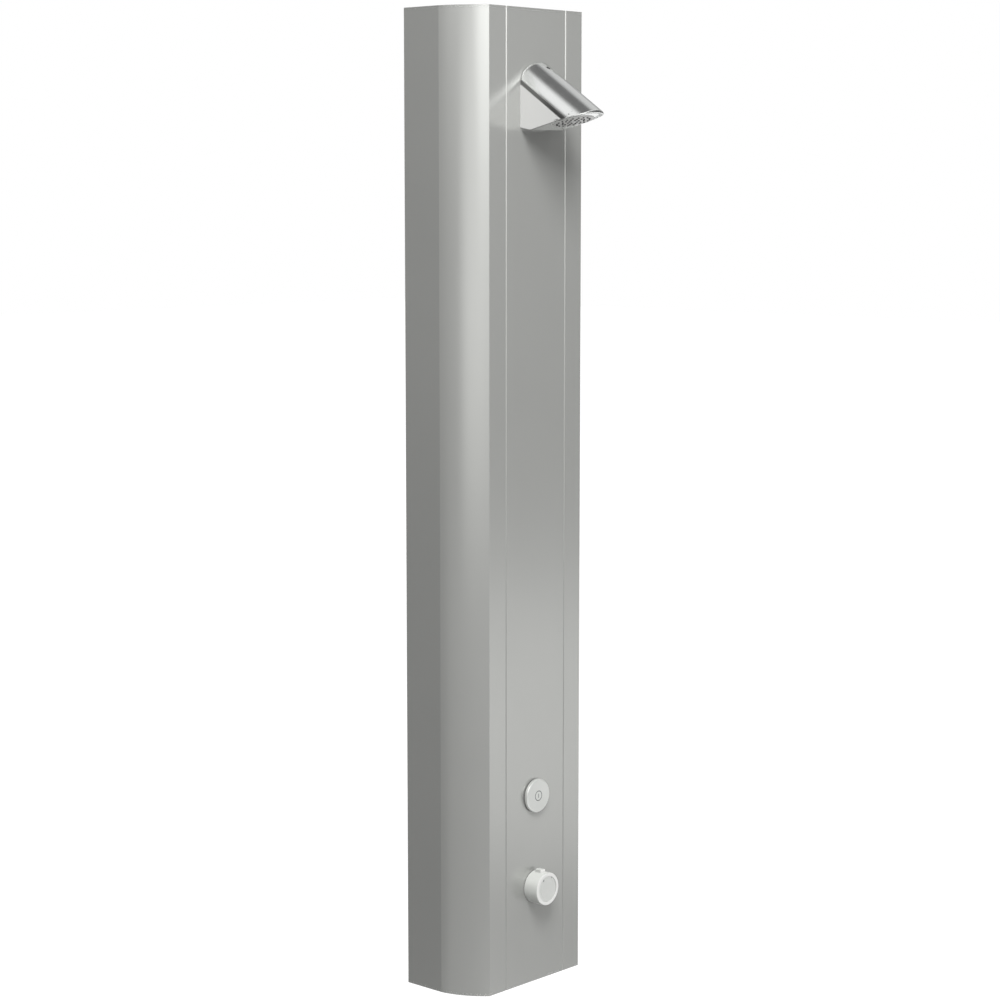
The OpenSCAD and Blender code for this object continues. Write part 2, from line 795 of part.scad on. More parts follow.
piston_len = 12;
piston_ring = 3;
piston_hole_out = 2.2;
piston_y = cross_y - piston_len;
web_t = 3;
element_r = 4.5;
pin_r = 2.5;
spindle_end = neck_back + foot_t;
pin_in = 4;
module thermostat_piston() {
    color("#b98d3e") translate([0, 0, knob_z]) difference() {
        rod_y(piston_y, piston_y + piston_len, sleeve_bore - run);
        rod_y(piston_y - cut, piston_y + piston_len / 2 - web_t / 2, sleeve_bore - piston_ring);
        rod_y(piston_y + piston_len / 2 + web_t / 2, piston_y + piston_len + cut, sleeve_bore - piston_ring);
        rod_y(piston_y - cut, piston_y + piston_len + cut, element_r + run);
        for (turn = [0 : 90 : 270]) rotate([0, turn, 0]) translate([element_r + piston_hole_out, 0, 0])
            rod_y(piston_y - cut, piston_y + piston_len + cut, web_t / 2);
    }
}
module wax_element() {
    waist = spindle_end + 2 * web_t;
    color("#c98b5a") translate([0, 0, knob_z]) {
        rod_y(spindle_end - pin_in, waist + cut, pin_r);
        rod_y(waist, piston_y + piston_len + web_t, element_r);
    }
}
return_wire = 0.7;
return_turns = 4;
module return_spring() {
    color("#d0d2d3") translate([0, piston_y + piston_len + run, knob_z]) rotate([-90, 0, 0])
        wire_coil(bore_end - piston_y - piston_len - 2 * run,
            sleeve_bore - piston_ring / 2 - 2 * run - return_wire / 2, return_wire, return_turns);
}
collar_r = 9;
knob_face_t = 1.3;
face_sink = 0.5;
knob_front = front_y - knob_proud;
knob_wall = 2.5;
knob_gap = 0.6;
knob_web = 7.4;
hub_r = 8;
hub_len = 7;
knob_inside = knob_front + knob_web;
spindle_sink = 5.4;
spindle_front = knob_front + spindle_sink;
knob_screw_r = 2;
knob_screw_in = 9;
knob_head_r = 3.6;
knob_head_t = 2.5;
module mixer_spindle() {
    color("#caa552") translate([0, 0, knob_z]) difference() {
        union() {
            rod_y(spindle_front, spindle_end, spindle_r);
            rod_y(neck_back + run, spindle_end, collar_r);
        }
        rod_y(spindle_end - 2 * pin_in, spindle_end + cut, pin_r + close);
        rod_y(spindle_front - cut, spindle_front + knob_screw_in + cut, knob_screw_r + run);
    }
}

// Check valve cartridges in the cross tube, drawn for the right side
check_len = 18;
check_in = 2;
check_seat = 2;
check_bore = 4.6;
check_hole = 3.2;
guide_r = 1.2;
guide_hole_share = 0.62;
poppet_t = 1.6;
module check_valves() {
    outer = cross_half - check_in;
    color("#3f6fa8") both_sides() translate([0, cross_y, knob_z]) difference() {
        rod_x(outer - check_len, outer, cross_bore - close);
        rod_x(outer - check_len + check_seat + cut, outer - check_seat, check_bore);
        rod_x(outer - check_len - cut, outer - check_seat, guide_r + run);
        rod_x(outer - check_seat - cut, outer + cut, check_hole);
        for (turn = [0 : 90 : 270]) rotate([turn, 0, 0]) translate([0, 0, check_bore * guide_hole_share])
            rod_x(outer - check_len - cut, outer - check_seat, guide_r);
    }
}
module check_poppet() {
    seat = cross_half - check_in - check_seat - close;
    translate([0, cross_y, knob_z]) {
        rod_x(seat - poppet_t, seat, check_bore - 2 * close);
        rod_x(cross_half - check_in - check_len, seat - poppet_t / 2, guide_r);
    }
}
module hot_check_poppet() {
    color("#e4e5e3") mirror([1, 0, 0]) check_poppet();
}
module cold_check_poppet() {
    color("#e4e5e3") check_poppet();
}

// Thermostat knob
knob_bevel = 0.5;
tab_half = 4.3;
tab_in = 0.8;
tab_y = knob_inside + tab_in;
tab_len = 8.4;
tab_out = 0.4;
tab_top = knob_r + stop_travel + tab_out;
tab_depth = 2.3;
tab_foot = knob_r - knob_wall - tab_depth;
tab_gap = 0.5;
tab_rim_w = 1.5;
tab_rim_h = 1;
module knob_body() {
    color("#c8c9c4") translate([0, 0, knob_z]) difference() {
        union() {
            difference() {
                union() {
                    rod_y(knob_front + knob_bevel, front_y - knob_gap, knob_r);
                    translate([0, knob_front, 0]) rotate([-90, 0, 0])
                        cylinder(h = knob_bevel, r1 = knob_r - knob_bevel, r2 = knob_r);
                }
                rod_y(knob_inside, front_y, knob_r - knob_wall);
            }
            rod_y(knob_inside - cut, knob_inside + hub_len, hub_r);
        }
        rod_y(spindle_front - close, knob_inside + hub_len + cut, spindle_r + run);
        rod_y(knob_front - cut, knob_front + face_sink + knob_face_t, face_r + close);
        rod_y(knob_front, spindle_front - cut, knob_head_r + close);
        rod_y(knob_front, spindle_front, knob_screw_r + close);
        block(-tab_half - tab_gap, tab_half + tab_gap, tab_y - loose, tab_y + tab_len + loose,
            knob_r - knob_wall - cut, knob_r + cut);
    }
}
module knob_face() {
    color("#c2c3be") translate([0, 0, knob_z])
        rod_y(knob_front + face_sink, knob_front + face_sink + knob_face_t, face_r);
}
module knob_screw() {
    head_y = knob_front + face_sink + knob_face_t;
    color("#8f938f") translate([0, 0, knob_z]) difference() {
        union() {
            rod_y(head_y + close, spindle_front - cut, knob_head_r);
            rod_y(spindle_front - knob_head_t, spindle_front + knob_screw_in, knob_screw_r);
        }
        translate([0, head_y, 0]) rotate([-90, 0, 0]) hexagon(socket_flat, socket_in);
    }
}
module stop_button() {
    color("#b9bbb7") translate([0, 0, knob_z]) {
        intersection() {
            block(-tab_half, tab_half, tab_y, tab_y + tab_len, tab_foot, tab_top);
            rod_y(tab_y - cut, tab_y + tab_len + cut, tab_top);
        }
        block(-tab_half - tab_rim_w, tab_half + tab_rim_w, tab_y, tab_y + tab_len,
            tab_foot, tab_foot + tab_rim_h);
    }
}
stop_wire = 0.35;
stop_coil_r = 2.1;
stop_turns = 5;
module stop_spring() {
    color("#d0d2d3") translate([0, tab_y + tab_len / 2, knob_z + hub_r + run])
        wire_coil(tab_foot - hub_r - 2 * run, stop_coil_r, stop_wire, stop_turns);
}
ring_out = 3.5;
ring_y = front_y - ring_out;
ring_t = 2;
ring_r = tab_foot - sink;
tooth_turn = 25;
tooth_half = 2;
module stop_ring() {
    color("#9a9d9b") translate([0, 0, knob_z]) difference() {
        union() {
            rod_y(ring_y, ring_y + ring_t, ring_r);
            rotate([0, tooth_turn, 0]) block(-tooth_half, tooth_half, tab_y + tab_len + close, ring_y + sink,
                neck_r + 2 * close, ring_r - close);
        }
        rod_y(ring_y - ring_t - cut, ring_y + ring_t + cut, neck_r + run);
    }
}

// Start button and its sleeve, drawn round the y axis
skirt_wall = 2;
cap_face_t = 2.5;
button_gap = 0.2;
lift = button_travel + button_gap;
stem_r = 9.95;
sleeve_bore_r = 10.02;
spring_bore_r = 13.5;
sleeve_rim_r = 18.5;
sleeve_rim_t = 1.5;
ledge_in = 2.5;
ledge_y = skin_y + ledge_in;
sleeve_back = 8;
sleeve_end = plate_back + sleeve_back;
stem_gap = 0.7;
stem_end = sleeve_end - button_travel - stem_gap;
seal_r = 0.9;
mark_r = 6.5;
mark_w = 1;
mark_d = 0.3;
mark_bar = 2.6;
button_nut_flat = 34;
module button_profile() {
    face = button_proud;
    difference() {
        translate([0, lift]) square([button_r, face - lift]);
        translate([0, lift - cut]) square([button_r - skirt_wall, face - lift - cap_face_t + cut]);
        difference() {
            translate([button_r - button_round, face - button_round])
                square([button_round + cut, button_round + cut]);
            translate([button_r - button_round, face - button_round]) circle(r = button_round);
        }
    }
}
module start_button() {
    color("#cfd0ca") translate([0, 0, button_z]) difference() {
        union() {
            translate([0, front_y, 0]) rotate([90, 0, 0]) rotate_extrude() button_profile();
            rod_y(front_y - button_proud + cap_face_t / 2, stem_end, stem_r);
        }
        translate([0, front_y - button_proud, 0]) {
            difference() {
                rod_y(-cut, mark_d, mark_r);
                rod_y(-2 * cut, mark_d + cut, mark_r - mark_w);
            }
            block(-mark_w / 2, mark_w / 2, -cut, mark_d, -mark_bar, mark_bar);
        }
    }
}
module button_sleeve() {
    seal_y = (ledge_y + sleeve_end) / 2;
    color("#55595b") translate([0, 0, button_z]) difference() {
        union() {
            rod_y(front_y - sleeve_rim_t, front_y, sleeve_rim_r);
            rod_y(front_y - sink, sleeve_end, sleeve_r);
        }
        rod_y(front_y - sleeve_rim_t - cut, sleeve_end + cut, sleeve_bore_r);
        rod_y(front_y - sleeve_rim_t - cut, ledge_y, spring_bore_r);
        rod_y(seal_y - seal_r - close, seal_y + seal_r + close, sleeve_bore_r + 2 * seal_r);
    }
}
module button_seal() {
    color("#17181a") translate([0, (ledge_y + sleeve_end) / 2, button_z]) rotate([90, 0, 0])
        rotate_extrude() translate([sleeve_bore_r + seal_r, 0]) circle(r = seal_r - close / 2);
}
module button_nut() {
    color("#9a9d9b") translate([0, skin_y, button_z]) rotate([-90, 0, 0]) difference() {
        hexagon(button_nut_flat, plate_gap - close);
        rod_z(-cut, plate_gap + cut, sleeve_r + close);
    }
}
button_wire = 0.6;
button_turns = 4;
module button_spring() {
    start = front_y - button_proud + cap_face_t + run;
    color("#d0d2d3") translate([0, start, button_z]) rotate([-90, 0, 0])
        wire_coil(ledge_y - start - run, (sleeve_bore_r + spring_bore_r) / 2, button_wire, button_turns);
}
switch_r = 14;
switch_len = 13;
switch_mid = sleeve_end + switch_len / 2;
nub_r = 3;
module switch_module() {
    color("#2b4d7d") translate([0, 0, button_z]) {
        rod_y(sleeve_end, sleeve_end + switch_len, switch_r);
        rod_y(sleeve_end - sink, sleeve_end + sink, nub_r);
        translate([0, switch_mid, 0]) rod_x(0, switch_r + nub_r, nub_r);
    }
}

// Control box with its board and as many round cells as fit side by side
box_wall = 2;
cell_len = 50.5;
cell_gap = 0.3;
cell_lid_gap = 0.6;
cell_r = (box_d - box_wall - cell_lid_gap) / 2;
cell_pitch = 2 * cell_r + cell_gap;
cell_count = floor((box_w - 2 * box_wall) / cell_pitch);
lead_r = 2;
lead_back = 11;
lead_y = plate_back + lead_back;
switch_lead_x = 24;
valve_lead_x = 10;
post_len = 4;
board_t = 1.6;
board_side = 4;
board_half = box_w / 2 - box_wall - board_side;
board_shares = [-0.42, -0.03];
board_low = board_shares[0] * box_h;
board_high = board_shares[1] * box_h;
divider_d = 10;
// Ribs on the lid, and parts on the board: across, then up from the box's centre
rib_shares = [-0.3, -0.27, -0.24, -0.21, -0.18, -0.15, -0.12];
chip_shares = [[-0.7, -0.2, -0.18, -0.12], [0.1, 0.8, -0.38, -0.33]];
can_shares = [[0.2, -0.12], [0.45, -0.12], [0.7, -0.12]];
can_r = 2.8;
can_h = 6;
module control_box() {
    half = box_w / 2;
    color("#3a3e42") translate([0, plate_back, box_z]) difference() {
        union() {
            difference() {
                block(-half, half, 0, box_d, -box_h / 2, box_h / 2);
                block(-half + box_wall, half - box_wall, box_wall, box_d + cut,
                    -box_h / 2 + box_wall, box_h / 2 - box_wall);
            }
            for (sz = [-1, 1]) translate([0, 0, sz * box_fix]) rod_y(0, foot_t, fix_head_r + box_wall);
            for (sx = [-1, 1], z = [board_low, board_high])
                let (inward = sign((board_low + board_high) / 2 - z) * post_len)
                    translate([sx * (board_half - post_len), 0, z + inward])
                        rod_y(0, box_wall + post_len, box_wall);
            block(-half + sink, half - sink, 0, divider_d, -box_wall / 2, box_wall / 2);
        }
        for (sz = [-1, 1]) translate([0, 0, sz * box_fix]) rod_y(-cut, foot_t + cut, fix_r + close);
        for (x = [switch_lead_x, valve_lead_x]) translate([x, lead_y - plate_back, 0])
            rod_z(-box_h / 2 - cut, -box_h / 2 + box_wall + cut, lead_r + loose);
    }
}
module control_lid() {
    color("#474c50") translate([0, plate_back + box_d, box_z]) {
        block(-box_w / 2, box_w / 2, 0, box_wall, -box_h / 2, box_h / 2);
        for (share = rib_shares) translate([0, 0, share * box_h])
            block(-box_w / 4, box_w / 4, box_wall - sink, box_wall + sink, 0, box_wall / 2);
    }
}
module circuit_board() {
    back = plate_back + box_wall + post_len;
    color("#2f6b46") translate([0, back, box_z]) {
        block(-board_half, board_half, 0, board_t, board_low, board_high);
        for (share = chip_shares)
            block(share[0] * board_half, share[1] * board_half, board_t - sink, board_t + post_len,
                share[2] * box_h, share[3] * box_h);
        for (share = can_shares) translate([share[0] * board_half, 0, share[1] * box_h])
            rod_y(board_t - sink, board_t + can_h, can_r);
    }
}
module battery_cells() {
    color("#b5602f") translate([0, plate_back + box_wall + cell_r + run, box_z + box_wall])
        for (k = [0 : cell_count - 1]) translate([(k - (cell_count - 1) / 2) * cell_pitch, 0, 0]) {
            rod_z(0, cell_len - cut, cell_r);
            rod_z(cell_len - cut - sink, cell_len, cell_r / 3);
        }
}

// Round lead swept along a smooth line through its points
lead_sides = 8;
lead_steps = 4;
lead_rise_shares = [0.12, 0.28, 0.5, 0.74];
lead_back_shares = [0, 0.1, 0.38, 0.75];
lead_side_shares = [1, 0.97, 0.76, 0.34];
function smooth(p, k, t) =
    let (a = p[max(k - 1, 0)], b = p[k], c = p[k + 1], d = p[min(k + 2, len(p) - 1)])
        (2 * b + (c - a) * t + (2 * a - 5 * b + 4 * c - d) * t * t + (3 * b - a - 3 * c + d) * t * t * t) / 2;
function path_points(p) = concat(
    [for (k = [0 : len(p) - 2], s = [0 : lead_steps - 1]) smooth(p, k, s / lead_steps)], [p[len(p) - 1]]);
module lead(p) {
    path = path_points(p);
    last = len(path) - 1;
    rings = [for (k = [0 : last], s = [0 : lead_sides - 1])
        let (ahead = path[min(k + 1, last)] - path[max(k - 1, 0)],
            across = cross([0, 1, 0], ahead) / norm(cross([0, 1, 0], ahead)),
            over = cross(ahead, across) / norm(ahead),
            turn = s * 360 / lead_sides)
            path[k] + lead_r * (cos(turn) * across + sin(turn) * over)];
    sides = [for (k = [0 : last - 1], s = [0 : lead_sides - 1])
        let (a = k * lead_sides + s, b = k * lead_sides + (s + 1) % lead_sides)
            [a, a + lead_sides, b + lead_sides, b]];
    ends = [[for (s = [0 : lead_sides - 1]) s], [for (s = [lead_sides - 1 : -1 : 0]) last * lead_sides + s]];
    polyhedron(points = rings, faces = concat(sides, ends));
}
box_low = box_z - box_h / 2;
module switch_cable() {
    x = switch_r + nub_r;
    side = foot_x + lead_r + loose;
    out = (side - x) / 3;
    color("#26282b") lead([[x + close, switch_mid, button_z], [x + out, switch_mid, button_z],
        [x + 2 * out, switch_mid, button_z], [side, switch_mid, button_z + 4 * lead_r],
        [side, lead_y, button_z + 2 * switch_r],
        [side, lead_y, valve_z], [side, lead_y, valve_z + valve_boss],
        [switch_lead_x, lead_y, box_low - switch_r], [switch_lead_x, lead_y, box_low + box_wall]]);
}
module valve_cable() {
    x = valve_half + bonnet_t + coil_gap / 2 + coil_len / 4 + plug_w / 2;
    z = valve_z + coil_r + plug_h;
    function between(k) = [valve_lead_x + lead_side_shares[k] * (x - valve_lead_x),
        pipe_y + lead_back_shares[k] * (lead_y - pipe_y), z + lead_rise_shares[k] * (box_low - z)];
    color("#26282b") lead([[x, pipe_y, z + loose], between(0), between(1), between(2), between(3),
        [valve_lead_x, lead_y, box_low - 3 * lead_r], [valve_lead_x, lead_y, box_low + box_wall]]);
}

// Stop valve with its ball, drawn for the right side
valve_body_r = 15;
ball_y = -26;
ball_r = 10;
stem_ball_r = 4;
stem_boss_r = 8;
stem_drop = 24;
stem_out = 3;
arm_r = 10;
module stop_valve() {
    translate([inlet_x, 0, knob_z]) difference() {
        union() {
            rod_y(-sink, inlet_len, inlet_r);
            rod_y(cross_y - valve_body_r - cut, 0, valve_body_r);
            translate([0, cross_y, 0]) rod_x(cross_half - inlet_x, 0, arm_r);
            translate([0, ball_y, 0]) rod_z(-stem_drop, 0, stem_boss_r);
        }
        rod_y(cross_y, inlet_len + cut, way_r);
        translate([0, cross_y, 0]) rod_x(cross_half - inlet_x - cut, 0, way_r);
        translate([0, ball_y, 0]) {
            sphere(r = ball_r + close);
            rod_z(-stem_drop - cut, 0, stem_ball_r + run);
        }
    }
}
module stop_ball() {
    translate([inlet_x, ball_y, knob_z]) difference() {
        union() {
            sphere(r = ball_r);
            rod_z(-stem_drop - stem_out, 0, stem_ball_r);
        }
        rod_y(-ball_r - cut, ball_r + cut, way_r);
        block(-stem_ball_r - cut, stem_ball_r + cut, -stem_ball_r / 5, stem_ball_r / 5,
            -stem_drop - stem_out - cut, -stem_drop - stem_out / 3);
    }
}
module hot_stop_valve() {
    color("#b9bbb9") mirror([1, 0, 0]) stop_valve();
}
module cold_stop_valve() {
    color("#b9bbb9") stop_valve();
}
module hot_stop_ball() {
    color("#b5483f") mirror([1, 0, 0]) stop_ball();
}
module cold_stop_ball() {
    color("#3f6fb5") stop_ball();
}
inlet_nut_flat = 32;
inlet_nut_in = 6;
inlet_nut_out = 10;
module inlet_nuts() {
    color("#c8a24a") both_sides() translate([0, cross_y, knob_z]) difference() {
        translate([cross_half - inlet_nut_in, 0, 0]) rotate([0, 90, 0])
            hexagon(inlet_nut_flat, inlet_nut_in + inlet_nut_out);
        rod_x(cross_half - inlet_nut_in - cut, cross_half, cross_r + close);
        rod_x(cross_half - cut, cross_half + inlet_nut_out + cut, arm_r + close);
    }
}

housing_profile();
top_cap();
bottom_cap();
case_screws();
carrier_plate();
upper_wall_bracket();
lower_wall_bracket();
hanger_hooks();
locking_screws();
head_body();
spray_plate();
spray_nozzles();
spray_screw();
head_nipple();
head_grub_screw();
head_nut();
flow_regulator();
head_elbow();
riser_pipe();
supply_pipe();
pipe_nuts();
solenoid_body();
valve_diaphragm();
solenoid_bonnet();
solenoid_coil();
solenoid_plunger();
plunger_spring();
mixer_body();
thermostat_cartridge();
thermostat_piston();
wax_element();
return_spring();
mixer_spindle();
fixing_screws();
check_valves();
hot_check_poppet();
cold_check_poppet();
knob_body();
knob_face();
knob_screw();
stop_button();
stop_spring();
stop_ring();
start_button();
button_sleeve();
button_nut();
button_seal();
button_spring();
switch_module();
control_box();
control_lid();
circuit_board();
battery_cells();
switch_cable();
valve_cable();
hot_stop_valve();
cold_stop_valve();
hot_stop_ball();
cold_stop_ball();
inlet_nuts();
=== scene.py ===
# Shower panel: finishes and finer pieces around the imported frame, in metres.
import json
import math

import bmesh
import bpy
import numpy as np
from mathutils import Matrix, Vector


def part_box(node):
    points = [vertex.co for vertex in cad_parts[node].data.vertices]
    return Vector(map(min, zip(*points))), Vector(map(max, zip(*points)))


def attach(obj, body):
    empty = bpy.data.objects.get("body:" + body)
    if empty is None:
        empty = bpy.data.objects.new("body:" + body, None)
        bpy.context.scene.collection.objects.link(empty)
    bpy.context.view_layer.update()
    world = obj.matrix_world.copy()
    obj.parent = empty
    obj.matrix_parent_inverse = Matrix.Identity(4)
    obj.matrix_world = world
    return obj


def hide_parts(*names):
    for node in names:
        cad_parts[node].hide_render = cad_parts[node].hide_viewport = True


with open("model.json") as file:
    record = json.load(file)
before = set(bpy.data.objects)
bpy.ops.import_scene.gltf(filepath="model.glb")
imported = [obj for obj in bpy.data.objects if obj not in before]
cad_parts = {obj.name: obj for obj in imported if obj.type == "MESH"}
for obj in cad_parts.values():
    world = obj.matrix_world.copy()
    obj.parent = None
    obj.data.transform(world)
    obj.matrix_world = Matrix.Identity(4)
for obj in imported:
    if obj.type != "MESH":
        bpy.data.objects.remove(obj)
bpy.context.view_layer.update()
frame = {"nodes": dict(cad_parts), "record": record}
nodes = frame["nodes"]
mm = 0.001


def lowCorner(node):
    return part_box(node)[0]


def highCorner(node):
    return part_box(node)[1]


def centreOf(node):
    return (lowCorner(node) + highCorner(node)) / 2


panelFront = lowCorner("housing_profile").y
panelTop = highCorner("top_cap").z
panelFoot = lowCorner("bottom_cap").z


def addObject(name, data):
    made = bpy.data.objects.new(name, data)
    bpy.context.scene.collection.objects.link(made)
    return made


def meshFrom(made, name):              # turns a bmesh into a mesh
    mesh = bpy.data.meshes.new(name)
    made.to_mesh(mesh)
    made.free()
    return mesh


def evaluatedMesh(thing):
    bpy.context.view_layer.update()
    return bpy.data.meshes.new_from_object(thing.evaluated_get(bpy.context.evaluated_depsgraph_get()))


def flatSheet(name, half, tall, level=0):
    mesh = bpy.data.meshes.new(name)
    corners = ((-half, -tall), (half, -tall), (half, tall), (-half, tall))
    mesh.from_pydata([(x, y, level) for x, y in corners], [], [(0, 1, 2, 3)])
    return mesh


# Camera, where the photograph was taken from
cameraLook = {
    "place": (-2.2234, -2.0773, 0.4579),
    "turn": math.radians(-47.686),     # from looking along +Y
    "tilt": math.radians(-7.065),
    "lens": 87.86,
    "sensor": 36.0,
}


def placeCamera(look):
    lens = bpy.data.cameras.new("photoCamera")
    lens.lens, lens.sensor_width = look["lens"], look["sensor"]
    lens.dof.use_dof = False
    camera = addObject("photoCamera", lens)
    camera.location = look["place"]
    camera.rotation_euler = (math.pi / 2 + look["tilt"], 0, look["turn"])
    bpy.context.scene.camera = camera


placeCamera(cameraLook)
print("camera placed")


# Node helpers
def addNode(tree, kind, inputs=None, **settings):
    made = tree.nodes.new(kind)
    for name, value in settings.items():
        setattr(made, name, value)
    for name, value in (inputs or {}).items():
        if isinstance(value, bpy.types.NodeSocket):
            tree.links.new(value, made.inputs[name])
        else:
            made.inputs[name].default_value = value
    return made


def maths(tree, operation, *values):
    return addNode(tree, "ShaderNodeMath", dict(enumerate(values)), operation=operation).outputs[0]


def vectorMaths(tree, operation, output, *values):
    return addNode(tree, "ShaderNodeVectorMath", dict(enumerate(values)), operation=operation).outputs[output]


def objectPlace(tree):
    return addNode(tree, "ShaderNodeTexCoord").outputs["Object"]


def parts(tree, vector):               # its X, Y and Z sockets
    return addNode(tree, "ShaderNodeSeparateXYZ", {"Vector": vector}).outputs


def startMaterial(name, shaderInputs):
    material = bpy.data.materials.new(name)
    material.use_nodes = True
    shader = material.node_tree.nodes["Principled BSDF"]
    for socket, value in shaderInputs.items():
        shader.inputs[socket].default_value = value
    return material, material.node_tree, shader


def noiseOn(tree, scale, stretch=(1, 1, 1), detail=3.0, rough=0.55):
    mapping = addNode(tree, "ShaderNodeMapping", {"Vector": objectPlace(tree), "Scale": stretch})
    noise = addNode(tree, "ShaderNodeTexNoise", {"Vector": mapping.outputs["Vector"], "Scale": scale,
                                                 "Detail": detail, "Roughness": rough})
    return noise.outputs["Fac"]


def spread(tree, value, low, high, fromLow=0.3, fromHigh=0.7):
    return addNode(tree, "ShaderNodeMapRange", {"Value": value, "From Min": fromLow, "From Max": fromHigh,
                                                "To Min": low, "To Max": high}).outputs["Result"]


def mixColours(tree, share, one, other):   # inputs 0, 6 and 7 are the mix node's factor and its two colours
    return addNode(tree, "ShaderNodeMix", {0: share, 6: one, 7: other}, data_type="RGBA").outputs[2]


def solid(colour):
    return (*colour, 1)


def addBump(tree, shader, height, strength, depth):
    bump = addNode(tree, "ShaderNodeBump", {"Height": height, "Strength": strength, "Distance": depth})
    tree.links.new(bump.outputs["Normal"], shader.inputs["Normal"])


